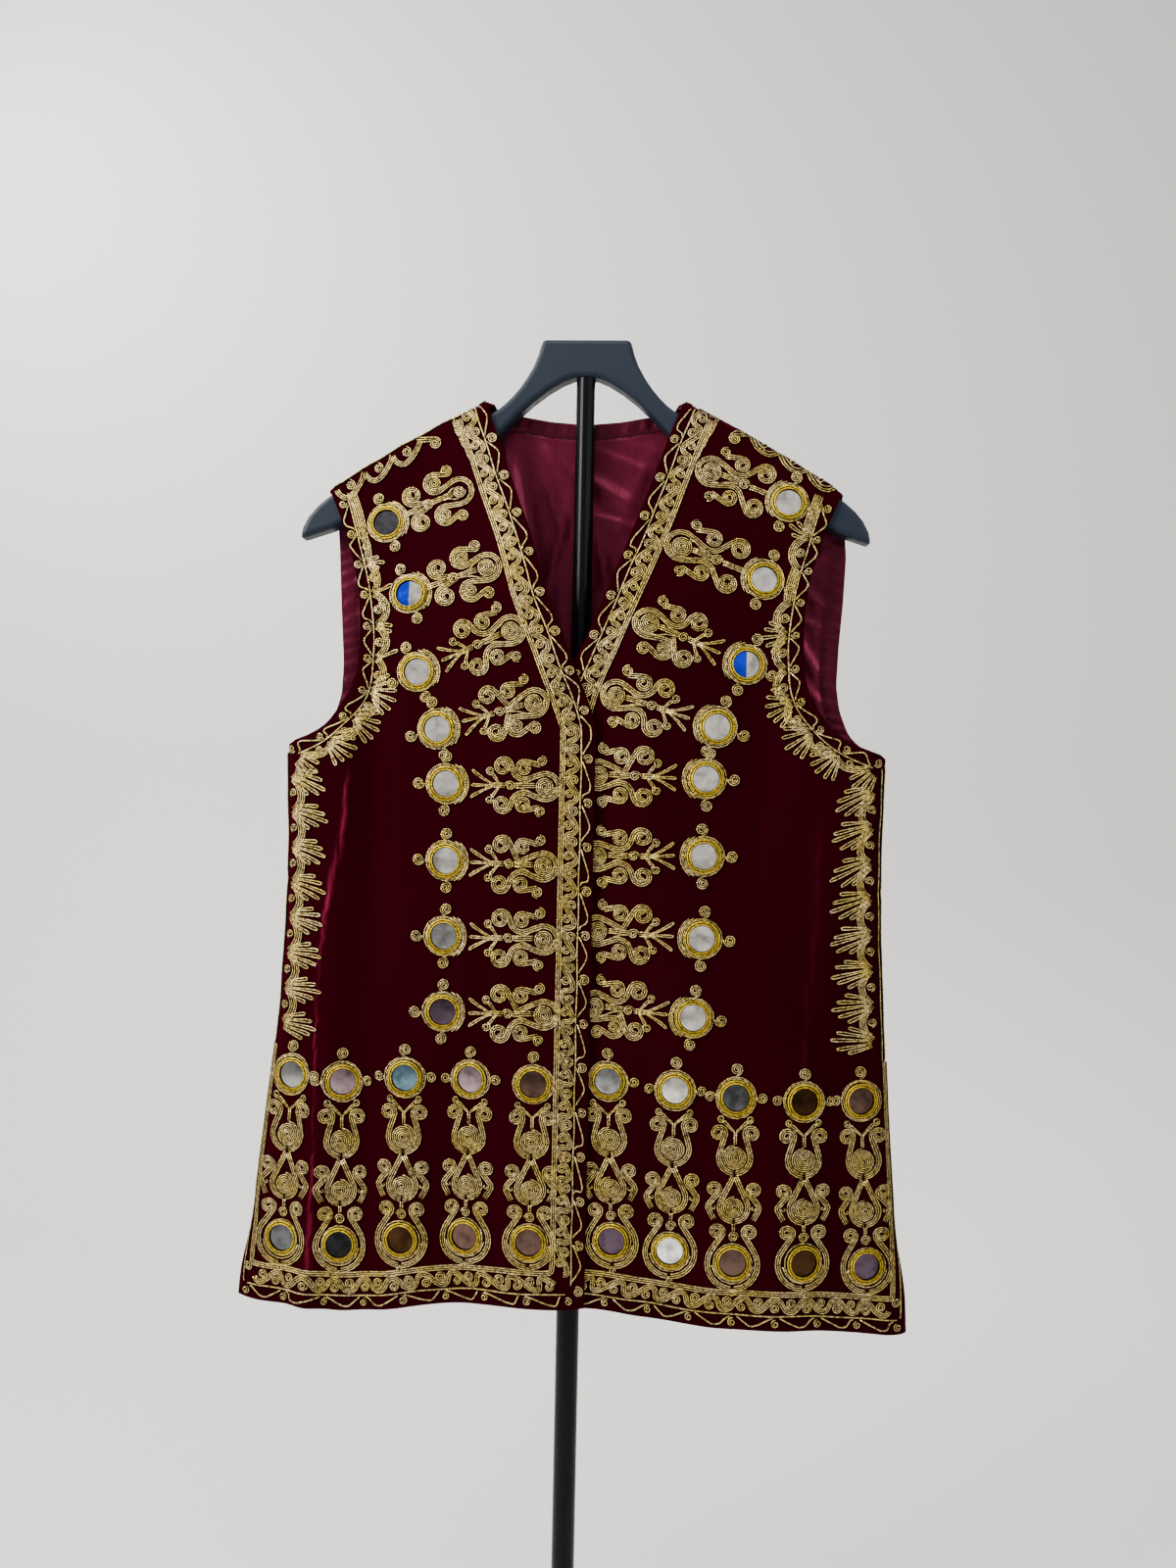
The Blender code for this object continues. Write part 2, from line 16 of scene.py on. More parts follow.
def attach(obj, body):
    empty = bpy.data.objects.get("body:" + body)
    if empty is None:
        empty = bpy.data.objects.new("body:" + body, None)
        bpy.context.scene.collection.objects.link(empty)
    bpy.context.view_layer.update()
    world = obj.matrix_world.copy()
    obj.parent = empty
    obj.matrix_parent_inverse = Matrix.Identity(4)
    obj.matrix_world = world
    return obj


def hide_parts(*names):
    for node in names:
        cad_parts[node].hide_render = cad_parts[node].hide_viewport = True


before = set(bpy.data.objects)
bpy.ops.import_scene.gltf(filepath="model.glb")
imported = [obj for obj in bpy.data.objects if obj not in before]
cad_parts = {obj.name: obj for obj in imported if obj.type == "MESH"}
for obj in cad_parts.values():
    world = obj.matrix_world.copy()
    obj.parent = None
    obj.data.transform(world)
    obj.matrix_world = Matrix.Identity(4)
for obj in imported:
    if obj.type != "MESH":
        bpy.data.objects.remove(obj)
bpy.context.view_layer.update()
MM = 0.001
chance = np.random.default_rng(11)

# ---------------------------------------------------------------- the drape

# Heights above the drape: the fronts' velvet and satin, the back's velvet, its inside and
# both faces of its lining
FRONT_WALL, FRONT_INSIDE = 2.4, 0.7
BACK_WALL, BACK_INSIDE, LINING_FACE, LINING_INSIDE = 2.8, 1.4, 1.0, 0.1
NECK_X, NECK_Z = 79.0, 1233.5
TIP_X, TIP_Z = 212.0, 1157.8
RIDGE_SLOPE = (NECK_Z - TIP_Z) / (TIP_X - NECK_X)
RIDGE_CROWN = 3.0
RIDGE_FLAT, RIDGE_ROUND = 5.0, 4.5
RIDGE_HALF = RIDGE_FLAT + RIDGE_ROUND
RIDGE_CLOTH = RIDGE_FLAT + RIDGE_ROUND * (math.pi / 2 - 1)
HANG_LENGTH, NECK_REACH, RIDGE_ZONE = 190.0, 35.0, 55.0
UNDERARM_Z, SLIT_TOP_Z, HEM_Z, HEM_REACH = 945.0, 575.0, 500.0, 150.0
SIDE_RADIUS, HEM_TURN = 15.0, 0.25
SIDE_ARC = SIDE_RADIUS * math.pi / 2
HALF_GAP = 0.15
FRONT_DEPTHS = ((500, 38), (700, 35), (945, 33), (1100, 30))  # height, depth
BACK_DEPTHS = ((500, 27), (700, 24), (945, 23), (1100, 21))
SIDE_WIDTHS = {  # height, half width
    "right": (
        (492, 266), (535, 262.5), (580, 260), (650, 252), (730, 243),
        (800, 239.5), (870, 238.5), (945, 241),
    ),
    "left": (
        (492, 267), (535, 265), (580, 262), (650, 257), (730, 252),
        (800, 248.5), (870, 247), (945, 249.5),
    ),
}
OVERLAP_PLACE = {"right": -15.0, "left": -18.0}
NECKLINES = {  # height, place of the front's edge
    "right": (
        (966, -15), (981, -10.5), (999, -3.5), (1018, 4.5), (1048, 16), (1077, 28),
        (1124, 41.5), (1167, 58), (1196, 68), (1221, 77.5), (1234, 80), (1242, 79),
    ),
    "left": (
        (975, -18), (1000, -11), (1021, -3), (1036, 4.5), (1069, 18), (1109, 34.5),
        (1151, 50.5), (1186, 62.5), (1214, 72.5), (1229, 79), (1236, 80), (1242, 79),
    ),
}
FRONT_ARMHOLE = (
    (948, 247), (951, 239), (956, 222), (965, 206), (978, 194.5), (989, 186), (1003, 181),
    (1030, 180), (1054, 181.5), (1074, 185), (1118, 197), (1150, 207.5), (1163, 212),
)
BACK_ARMHOLES = {
    "right": (
        (948, 247), (952, 241), (960, 227), (973, 211), (991, 205), (1016, 203.5),
        (1060, 205.5), (1115, 207.5), (1145, 209.5), (1163, 212),
    ),
    "left": (
        (948, 250), (951, 243), (957, 233.5), (966, 225), (986, 217), (1006, 214),
        (1039, 215), (1077, 217.5), (1118, 219), (1145, 216.5), (1163, 212),
    ),
}
BACK_NECK = (
    (0, 1222), (30, 1224.5), (50, 1228), (65, 1230), (73, 1231), (76, 1236.5), (79, 1241),
)
HEMLINES = {  # place, height
    "right": (
        (-15, 503), (0, 500.5), (28, 500), (57, 501), (88, 498.5), (117, 497.5), (149, 491),
        (182, 487.5), (216, 490), (248, 489), (275, 491),
    ),
    "left": (
        (-18, 500), (14, 500.5), (40, 499.5), (67, 495), (95, 492.5), (122, 490.5),
        (158, 491), (195, 490), (234, 484.5), (270, 479.5), (278, 482),
    ),
}
FOLDS = {  # place at the underarm and hem, half width, rise at the underarm and hem
    "right": (
        (187, 213, 13, 3.0, 6.0),
        (165, 165, 16, -3.5, -3.0),
        (100, 88, 26, 0.0, -8.0),
    ),
    "left": (
        (195, 170, 42, 1.0, 9.0),
        (150, 115, 16, -1.5, 1.5),
        (45, 70, 24, 0.0, -4.0),
    ),
}
UNDERLAP_DEPTH, UNDERLAP_EDGE, UNDERLAP_FADE = 5.5, 18.0, 60.0
UNDERLAP_TOP, UNDERLAP_END = 1040.0, 1140.0


def run_along(points):
    """Distance run along a line at each of its points."""
    return np.concatenate([[0], np.cumsum(np.linalg.norm(np.diff(points, axis=0), axis=1))])


def read_along(where, run, line):
    """Points of a line at the given distances along it."""
    return np.stack([np.interp(where, run, line[:, i]) for i in (0, 1)], axis=-1)


def looked_up(table, where):
    """A value read between the rows of a table."""
    table = np.array(table, float)
    return np.interp(where, table[:, 0], table[:, 1])


def softened(table, reach=9.0):
    """The same table as a curve without corners."""
    table = np.array(table, float)
    fine = np.arange(table[0, 0], table[-1, 0] + 0.5, 1.0)
    shares = np.linspace(-1, 1, 9)
    weights = 1 - np.abs(shares) * 0.9
    # The reach shrinks towards both ends, so that the ends stay in place
    room = np.minimum(fine - table[0, 0], table[-1, 0] - fine)
    width = np.minimum(reach, room)
    values = sum(
        w * np.interp(fine + s * width, table[:, 0], table[:, 1])
        for s, w in zip(shares, weights)
    )
    return np.stack([fine, values / weights.sum()], axis=1)


NECK_CURVES = {side: softened(table) for side, table in NECKLINES.items()}
FRONT_ARMHOLE_CURVE = softened(FRONT_ARMHOLE, 6)
BACK_ARMHOLE_CURVES = {side: softened(table, 6) for side, table in BACK_ARMHOLES.items()}
HEM_CURVES = {side: softened(table, 14) for side, table in HEMLINES.items()}


def smooth(share):
    """A soft step from 0 to 1."""
    share = np.clip(share, 0.0, 1.0)
    return share * share * (3.0 - 2.0 * share)


def bell(off, width):
    """1 in the middle, falling to almost 0 at twice the width."""
    return np.exp(-((off / width) ** 2))


def unit(ways):
    """The same directions with a length of 1."""
    return ways / np.maximum(np.linalg.norm(ways, axis=-1, keepdims=True), 1e-9)


def ridge_height(x):
    """Height of the shoulder ridge's line."""
    past_neck = np.maximum(x - NECK_X, 0.0)
    share = np.clip(past_neck / (TIP_X - NECK_X), 0.0, 1.2)
    return NECK_Z - RIDGE_SLOPE * past_neck + 4 * RIDGE_CROWN * share * (1 - share)


def drape_top(x):
    """Height at which the drape starts, also inside the neck opening."""
    slope = RIDGE_SLOPE - 4 * RIDGE_CROWN / (TIP_X - NECK_X)
    return ridge_height(x) + slope * np.clip(NECK_X - x, 0.0, NECK_REACH)


def shoulder_top(x):
    """Height of the ridge's seam, measured along the cloth."""
    return ridge_height(x) + RIDGE_CLOTH


def over_the_ridge(cloth):
    """Drop and depth of cloth that has run this far from the seam."""
    turn = np.clip((cloth - RIDGE_FLAT) / RIDGE_ROUND, 0.0, math.pi / 2)
    below = np.maximum(cloth - RIDGE_FLAT - RIDGE_ROUND * math.pi / 2, 0.0)
    drop = RIDGE_ROUND * (1 - np.cos(turn)) + below
    depth = np.minimum(cloth, RIDGE_FLAT) + RIDGE_ROUND * np.sin(turn)
    return drop, depth


def fold_depth(side, x, height):
    """How far the large folds stand out."""
    share = (UNDERARM_Z - height) / (UNDERARM_Z - HEM_Z)
    fade = smooth((1090 - height) / 140)
    depth = np.zeros_like(x)
    for top_x, hem_x, half_width, top_depth, hem_depth in FOLDS[side]:
        middle = top_x + (hem_x - top_x) * share
        rise = top_depth + (hem_depth - top_depth) * np.clip(share, 0, 1)
        depth = depth + rise * bell(x - middle, half_width)
    return depth * fade


def drape(side, is_front, along, height):
    """Points of the drape's inner surface."""
    half_width = looked_up(SIDE_WIDTHS[side], height)
    flat = half_width - SIDE_RADIUS
    turned = 1 - (1 - HEM_TURN) * smooth((SLIT_TOP_Z - height) / (SLIT_TOP_Z - HEM_Z))
    radius = SIDE_RADIUS / turned
    angle = np.maximum(along - flat, 0.0) / radius
    x = np.minimum(along, flat) + radius * np.sin(angle)
    side_depth = SIDE_RADIUS - radius * (1 - np.cos(angle))
    depths = FRONT_DEPTHS if is_front else BACK_DEPTHS
    crown = looked_up(depths, height) - SIDE_RADIUS
    full = side_depth + crown * (1 - (x / half_width) ** 2)
    if is_front:
        full = full + fold_depth(side, x, height)
        if side == "left":
            near = 1 - smooth((x - UNDERLAP_EDGE) / (UNDERLAP_FADE - UNDERLAP_EDGE))
            low = smooth((UNDERLAP_END - height) / (UNDERLAP_END - UNDERLAP_TOP))
            full = full - UNDERLAP_DEPTH * near * low
    cloth = drape_top(x) + RIDGE_CLOTH - height
    drop, wrap = over_the_ridge(cloth)
    depth = wrap + (full - RIDGE_HALF) * smooth(cloth / HANG_LENGTH)
    sign_x = -1.0 if side == "right" else 1.0
    sign_y = -1.0 if is_front else 1.0
    return np.stack([sign_x * x, sign_y * depth, drape_top(x) - drop], axis=-1)


def outward(side, is_front, along, height):
    """Unit normals of the drape, away from the wearer."""
    step = 0.4
    right, left = (drape(side, is_front, along + way, height) for way in (step, -step))
    above, below = (drape(side, is_front, along, height + way) for way in (step, -step))
    normal = unit(np.cross(right - left, above - below))
    return -normal if (side == "right") != (not is_front) else normal


def relief(side, along, height):
    """Slight unevenness that the stitching gives the velvet."""
    phase = 0.0 if side == "right" else 1.7
    low = np.sin(along / 23 + height / 61 + phase) * np.sin(height / 34 - along / 47)
    fine = np.sin(along / 7.3 + 2 * np.sin(height / 19)) * np.sin(height / 8.9 + phase)
    return 0.28 * low + 0.12 * fine


CRUSHED = {  # streaks where a fold has crushed the pile, lighter by a painted highlight: height, place, half width, strength
    "right": (
        ((934, 186, 1.8, 0.5), (900, 188.5, 2.2, 0.8), (874, 190.5, 3.6, 0.9), (845, 196.5, 4.6, 0.9),
         (828, 199.5, 3.6, 1.0), (788, 205, 2.8, 0.95), (762, 206.5, 2.0, 0.9), (735, 208.3, 1.6, 0.8),
         (692, 208.5, 1.4, 0.6), (650, 207.5, 1.7, 0.6), (618, 206.5, 1.8, 0.65), (578, 209.5, 2.4, 0.7),
         (540, 210, 3.0, 0.7), (503, 212, 3.0, 0.55)),
    ),
    "left": (
        ((900, 196, 3.0, 0.10), (800, 192, 5.0, 0.14), (700, 184, 5.0, 0.12), (560, 172, 4.0, 0.10)),
    ),
}
CREASE_Z, CREASE_DEPTH, CREASE_WIDTH = 835.0, 0.7, 3.5
CRUSH_RISE, CRUSH_SPREAD = 1.2, 1.8  # height of the streak's ridge, and its width to the streak's
# Place, lower end and upper end of the upright wrinkle beside the streak
WRINKLES = {"right": (167.0, 800.0, 938.0), "left": (150.0, 840.0, 920.0)}


def crushed(side, along, height, widened=1.0):
    """How far the pile is crushed, 0 to 1; it also sets the painted highlight of the streaks."""
    amount = np.zeros_like(along)
    for streak in CRUSHED[side]:
        table = np.array(streak)[::-1]
        middle, width, strength = (np.interp(height, table[:, 0], table[:, i]) for i in (1, 2, 3))
        middle = middle + 0.8 * np.sin(height / 5.3) + 0.5 * np.sin(height / 2.1)
        ends = smooth((height - table[0, 0]) / 8) * smooth((table[-1, 0] - height) / 20)
        amount = amount + strength * bell(along - middle, 0.52 * width * widened) * ends
    return np.clip(amount, 0, 1)


def wrinkle(side, along, height):
    """A narrow upright wrinkle with a ridge beside it."""
    middle, low, high = WRINKLES[side]
    off = along - middle - 2.2 * np.sin(height / 13.0) - 0.9 * np.sin(height / 4.7)
    ends = smooth((height - low) / 25) * smooth((high - height) / 15)
    return ends * (bell(off, 2.3) - 0.6 * bell(off - 5.0, 2.8))


def layer(side, is_front, along, height, lift):
    """Points of the drape moved outwards by lift, with their normals."""
    normal = outward(side, is_front, along, height)
    if is_front:
        off = height - CREASE_Z - 2 * np.sin(along / 31)
        crease = CREASE_DEPTH * bell(off, CREASE_WIDTH)
        lift = lift + relief(side, along, height) - crease
        ridge = CRUSH_RISE * crushed(side, along, height, CRUSH_SPREAD)
        lift = lift + ridge - wrinkle(side, along, height)
    return drape(side, is_front, along, height) + normal * np.asarray(lift)[..., None], normal


def side_seam(side, height):
    """Place of the side seam, half its gap away."""
    return looked_up(SIDE_WIDTHS[side], height) - SIDE_RADIUS + SIDE_ARC - HALF_GAP


def outer_edge(side, armhole, height):
    """Place of the armhole's edge, or of the side seam below it."""
    if height <= UNDERARM_Z:
        return float(side_seam(side, height))
    return float(min(looked_up(armhole, height), side_seam(side, UNDERARM_Z)))


def inner_edge(side, height):
    """Place of the neckline, or of the front edge below it."""
    line = NECK_CURVES[side]
    return float(OVERLAP_PLACE[side] if height < line[0][0] else looked_up(line, height))


# ---------------------------------------------------------------- materials

RING_START = 0.3  # angle at which a cord's ring of points starts


def new_material(name):
    made = bpy.data.materials.new(name)
    made.use_nodes = True
    tree = made.node_tree
    return made, tree, tree.nodes["Principled BSDF"]


def add_node(tree, kind, **values):
    made = tree.nodes.new(kind)
    for name, value in values.items():
        setattr(made, name, value)
    return made


def fill(tree, socket, value):
    """Links another node's socket, or sets a plain value."""
    if isinstance(value, bpy.types.NodeSocket):
        tree.links.new(value, socket)
    else:
        socket.default_value = value


def set_inputs(tree, shader, **values):
    """Fills sockets by name: base_color stands for Base Color."""
    for name, value in values.items():
        fill(tree, shader.inputs[name.replace("_", " ").title().replace("Ior", "IOR")], value)


def noise(tree, scale, stretch=(1, 1, 1), detail=3.0):
    """Noise in the object's own space."""
    coords = add_node(tree, "ShaderNodeTexCoord")
    place = add_node(tree, "ShaderNodeMapping")
    made = add_node(tree, "ShaderNodeTexNoise")
    set_inputs(tree, place, vector=coords.outputs["Object"], scale=stretch)
    set_inputs(tree, made, vector=place.outputs["Vector"], scale=scale, detail=detail)
    return made.outputs["Fac"]


def colours(tree, fac, stops):
    """A ramp of (place, colour) stops; a number stands for a grey."""
    ramp = add_node(tree, "ShaderNodeValToRGB")
    while len(ramp.color_ramp.elements) < len(stops):
        ramp.color_ramp.elements.new(0.5)
    for element, (place, colour) in zip(ramp.color_ramp.elements, stops):
        element.position = place
        element.color = (*colour, 1) if isinstance(colour, tuple) else (colour, colour, colour, 1)
    tree.links.new(fac, ramp.inputs["Fac"])
    return ramp.outputs["Color"]


def mixed(tree, factor, first, second, blend="MIX"):
    """Two colours mixed, or multiplied together."""
    made = add_node(tree, "ShaderNodeMix", data_type="RGBA", blend_type=blend)
    fill(tree, made.inputs["Factor"], factor)
    fill(tree, made.inputs[6], first)
    fill(tree, made.inputs[7], second)
    return made.outputs[2]


def painted(tree, name):
    """The values painted on the mesh's points under this name."""
    return add_node(tree, "ShaderNodeVertexColor", layer_name=name).outputs["Color"]


def bump(tree, shader, height, distance, strength, after=None):
    """Fine relief, on top of another bump if there is one."""
    made = add_node(tree, "ShaderNodeBump")
    set_inputs(tree, made, height=height, distance=distance, strength=strength)
    if after is not None:
        tree.links.new(after.outputs["Normal"], made.inputs["Normal"])
    tree.links.new(made.outputs["Normal"], shader.inputs["Normal"])
    return made


def math_node(tree, operation, first, second=None):
    made = add_node(tree, "ShaderNodeMath", operation=operation)
    fill(tree, made.inputs[0], first)
    if second is not None:
        fill(tree, made.inputs[1], second)
    return made.outputs["Value"]


def scaled(tree, value, factor, offset):
    return math_node(tree, "ADD", math_node(tree, "MULTIPLY", value, factor), offset)


def velvet_material():
    """Deep pile: it reflects almost no white; crushed streaks along a fold, and the crests of the back's
    folds, are lighter by a painted highlight.
    """
    made, tree, shader = new_material("velvet")
    deep, lit = (0.0094, 0.0002, 0.0010), (0.0148, 0.0003, 0.0019)
    # The first colour is the painted highlight of crushed streaks and fold crests
    crushed_pile_highlight, sheen = (0.112, 0.007, 0.021, 1), (0.7, 0.012, 0.07, 1)
    pile = colours(tree, noise(tree, 14, (1, 1, 0.22), 4), [(0.3, deep), (0.72, lit)])
    grain = colours(tree, noise(tree, 210, (1, 1, 0.08), 4), [(0.36, 0), (0.62, 1)])
    amount = math_node(tree, "MULTIPLY", painted(tree, "pile_highlight"), grain)
    set_inputs(
        tree, shader, base_color=mixed(tree, amount, pile, crushed_pile_highlight), roughness=0.7,
        specular_ior_level=0.0, sheen_weight=0.12, sheen_roughness=0.35, sheen_tint=sheen,
    )
    bump(tree, shader, noise(tree, 900, (1, 1, 0.5), 2), 0.0003, 0.4)
    return made


def satin_material():
    """Lining satin; its stitched facing, marked on the mesh, is darker, with painted shade along the
    groove of its seam.
    """
    made, tree, shader = new_material("lining")
    # The third colour is that of the darker facing and of the painted shade along its seam
    dark, light, facing = (0.063, 0.0038, 0.0140), (0.100, 0.0067, 0.0230), (0.012, 0.0008, 0.0028, 1)
    weave = colours(tree, noise(tree, 30, (1, 1, 0.5), 3), [(0.3, dark), (0.7, light)])
    set_inputs(
        tree, shader, base_color=mixed(tree, painted(tree, "facing"), weave, facing), metallic=0.55,
        roughness=0.33, specular_ior_level=0.12,
    )
    soft = bump(tree, shader, noise(tree, 22, (1.6, 1, 0.6), 4), 0.004, 0.5)
    bump(tree, shader, noise(tree, 170, (1, 1, 1), 2), 0.0004, 0.5, after=soft)
    return made


def cord_material(name, low, middle, high, metallic, roughness):
    """Two threads twisted: the mesh's UV runs along and around the cord, and sets painted shade on its
    sides and a painted highlight on its back.
    """
    made, tree, shader = new_material(name)
    uv = add_node(tree, "ShaderNodeUVMap", uv_map="UVMap")
    parts = add_node(tree, "ShaderNodeSeparateXYZ")
    tree.links.new(uv.outputs["UV"], parts.inputs["Vector"])
    run, round_it = parts.outputs["X"], parts.outputs["Y"]
    turned = math_node(tree, "ADD", run, math_node(tree, "MULTIPLY", round_it, 2.0))
    twist = math_node(tree, "SINE", math_node(tree, "MULTIPLY", turned, math.pi))
    height = math_node(tree, "ABSOLUTE", twist)
    # Painted shade: the cord's sides, down in the grooves, are darker than its back, and its back and the
    # crowns of its twist are lighter as a painted highlight
    back = scaled(tree, math_node(tree, "SINE", scaled(tree, round_it, math.tau, RING_START)), 1.45, -0.53)
    patches = math_node(tree, "MULTIPLY", noise(tree, 480), 0.9)
    back = math_node(tree, "ADD", back, math_node(tree, "SUBTRACT", patches, 0.45))
    level = math_node(tree, "ADD", back, math_node(tree, "MULTIPLY", height, 0.08))
    # low is the painted shade in the grooves, middle the gold, high the painted highlight on the cord's
    # back
    gilt_with_painted_shade_and_highlight = colours(tree, level, [(0.25, low), (0.78, middle), (1.0, high)])
    # Some stretches have yellowed
    yellow = colours(tree, noise(tree, 45), [(0.42, 1), (0.6, (0.92, 0.9, 0.5))])
    set_inputs(
        tree, shader, base_color=mixed(tree, 1.0, gilt_with_painted_shade_and_highlight, yellow, "MULTIPLY"), metallic=metallic,
        roughness=roughness,
    )
    bump(tree, shader, height, 0.0004, 0.45)
    return made


def mirror_material():
    """Old glass: its own colour or a painted reflection of the room is painted on the mesh, and faint
    spots dull it.
    """
    made, tree, shader = new_material("mirror")
    stops = [(0.4, 1.0), (0.56, (0.74, 0.72, 0.72)), (0.68, (0.46, 0.44, 0.45))]
    worn = colours(tree, noise(tree, 120, detail=4), stops)
    rough = colours(tree, noise(tree, 260, detail=5), [(0.45, 0.05), (0.75, 0.24)])
    tinted = mixed(tree, 1.0, painted(tree, "colour_and_reflection"), worn, "MULTIPLY")
    set_inputs(tree, shader, base_color=tinted, roughness=rough, metallic=1.0)
    bump(tree, shader, noise(tree, 60), 0.0006, 0.12)
    return made


def lacquer_material(name, colour, roughness, shine):
    """Painted wood or steel with faint brushing."""
    made, tree, shader = new_material(name)
    rough = colours(tree, noise(tree, 35, detail=4), [(0.3, roughness), (0.75, roughness + 0.08)])
    set_inputs(tree, shader, base_color=(*colour, 1), specular_ior_level=shine, roughness=rough)
    bump(tree, shader, noise(tree, 420, (0.15, 1, 1), 3), 0.00015, 0.35)
    return made


VELVET = velvet_material()
SATIN = satin_material()
# For both golds: colours of the painted shade in the grooves, of the gold and of the painted highlight on
# the back, then metallic and roughness
CORD = cord_material(
    "gold_cord", (0.007, 0.0036, 0.0007), (0.060, 0.038, 0.008), (0.72, 0.525, 0.20), 0.75, 0.30
)
THREAD = cord_material(
    "gold_thread", (0.024, 0.013, 0.0005), (0.140, 0.090, 0.003), (0.56, 0.39, 0.014), 0.9, 0.36
)
GLASS = mirror_material()

# ---------------------------------------------------------------- meshes


def add_mesh(name, points, faces, finishes, uv=None, face_finish=None, sharp=50):
    """An object on the part's root, from points in millimetres."""
    mesh = bpy.data.meshes.new(name)
    mesh.from_pydata((np.asarray(points) * MM).tolist(), [], faces)
    for finish in finishes:
        mesh.materials.append(finish)
    if uv is not None:
        mesh.uv_layers.new(name="UVMap").data.foreach_set("uv", np.asarray(uv, np.float32).ravel())
    if face_finish is not None:
        mesh.polygons.foreach_set("material_index", np.asarray(face_finish, np.int32))
    mesh.shade_smooth()
    if sharp:
        mesh.set_sharp_from_angle(angle=math.radians(sharp))
    made = bpy.data.objects.new(name, mesh)
    bpy.context.scene.collection.objects.link(made)
    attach(made, "root")
    return made


def cloth_shell(name, outer, inner, finishes):
    """A thin shell between two grids: the first finish outside, the second inside."""
    rows, columns = outer.shape[:2]
    count = rows * columns
    at = np.arange(count).reshape(rows, columns)
    quads = np.stack([at[:-1, :-1], at[:-1, 1:], at[1:, 1:], at[1:, :-1]], axis=-1).reshape(-1, 4)
    # The outer grid's faces must look away from the wearer
    first = outer[rows // 2, columns // 2]
    across = outer[rows // 2, columns // 2 + 1] - first
    upward = outer[rows // 2 + 1, columns // 2] - first
    away = first - inner[rows // 2, columns // 2]
    rim = np.concatenate([at[0, :], at[1:, -1], at[-1, -2::-1], at[-2:0:-1, 0]])
    following = np.roll(rim, -1)
    edge = np.stack([following, rim, rim + count, following + count], axis=-1)
    if np.dot(np.cross(across, upward), away) < 0:
        quads, edge = quads[:, ::-1], edge[:, ::-1]
    faces = np.concatenate([quads, quads[:, ::-1] + count, edge])
    kinds = np.concatenate([np.zeros(len(quads)), np.ones(len(quads)), np.zeros(len(edge))])
    points = np.concatenate([outer.reshape(-1, 3), inner.reshape(-1, 3)])
    return add_mesh(name, points, faces.tolist(), finishes, face_finish=kinds)


def paint(made, name, values):
    """Writes one value for each point of a mesh under the given name."""
    filled = np.ones((len(values), 4), np.float32)
    filled[:, :3] = np.reshape(values, (-1, 1))
    channel = made.data.color_attributes.new(name, "FLOAT_COLOR", "POINT")
    channel.data.foreach_set("color", filled.ravel())


# Rows up to the underarm stand at these heights, the yoke's at shares of the way up from
# there, and the last ones at distances below the shoulder or neck seam
FRONT_ROWS = np.concatenate([[500, 501.2], np.arange(504, 943, 4.2)])
BACK_ROWS = np.concatenate([[500, 501.2], np.arange(506, 942, 7)])
RIDGE_ROWS = (50, 44, 38, 32, 27, 22, 18, 15, 12.5, 11, 9.5, 8, 6.5, 5, 2.5, HALF_GAP)
YOKE_ROWS = [(share, None) for share in np.linspace(0, 1, 44)] + [(None, d) for d in RIDGE_ROWS]
FRONT_COLUMNS, EDGE_COLUMN = 88, 1.2
# Columns lie closer together where the crushed streak runs: its share of the width, the
# width of the denser strip and how much denser it is
DENSE_SHARE, DENSE_WIDTH, DENSER = 0.85, 0.075, {"right": 2.6, "left": 0.6}


def row_height(row, top):
    """Height of a yoke row where its seam is at top."""
    share, distance = row
    if distance is None:
        return UNDERARM_Z + share * (top - RIDGE_ZONE - UNDERARM_Z)
    return top - distance


def column_shares(side):
    """Shares of a front's width at its columns, without the two edges."""
    spots = np.linspace(0, 1, 400)
    weight = 1 + DENSER[side] * bell(spots - DENSE_SHARE, DENSE_WIDTH)
    spread = np.concatenate([[0], np.cumsum(weight[1:])])
    return np.interp(np.linspace(0, 1, FRONT_COLUMNS), spread / spread[-1], spots)[1:-1]


def front_places(side):
    """Along and height of each point of a front, rows from the hem upwards."""
    shares = column_shares(side)
    alongs, heights = [], []
    for level, row in [(level, None) for level in FRONT_ROWS] + [(None, row) for row in YOKE_ROWS]:
        inner_height = level if row is None else float(row_height(row, shoulder_top(NECK_X)))
        outer_height = level if row is None else float(row_height(row, shoulder_top(TIP_X)))
        inner = inner_edge(side, inner_height)
        width = outer_edge(side, FRONT_ARMHOLE_CURVE, outer_height) - inner
        middle = EDGE_COLUMN + shares * (width - 2 * EDGE_COLUMN)
        along = inner + np.concatenate([[0, EDGE_COLUMN], middle, [width - EDGE_COLUMN, width]])
        if row is None:
            hem = looked_up(HEM_CURVES[side], along) - HEM_Z
            height = level + hem * (1 - smooth((level - HEM_Z) / HEM_REACH))
        else:
            height = row_height(row, shoulder_top(along))
        alongs.append(along)
        heights.append(height)
    return np.array(alongs), np.array(heights)


def edge_rounding(shape, amount):
    """Amount on the grid's border apart from its top row, and 0 elsewhere."""
    lift = np.zeros(shape)
    lift[0, :] = lift[:, 0] = lift[:, -1] = amount
    return lift


def make_front(side):
    along, height = front_places(side)
    outer, _ = layer(side, True, along, height, FRONT_WALL - edge_rounding(along.shape, 0.6))
    inner, _ = layer(side, True, along, height, FRONT_INSIDE + edge_rounding(along.shape, 0.3))
    made = cloth_shell(f"velvet_front_{side}", outer, inner, [VELVET, SATIN])
    # Painted highlight along the crushed streaks
    pile_highlight = crushed(side, along, height).ravel()
    paint(made, "pile_highlight", np.concatenate([pile_highlight, np.zeros_like(pile_highlight)]))
    return made


# Columns of the back inside the neck opening, and the columns from its middle to one side
NECK_COLUMNS = (7, 14, 21, 28, 34, 40, 45, 50, 55, 60, 65, 69, 73, 76)
BACK_HALF = 34


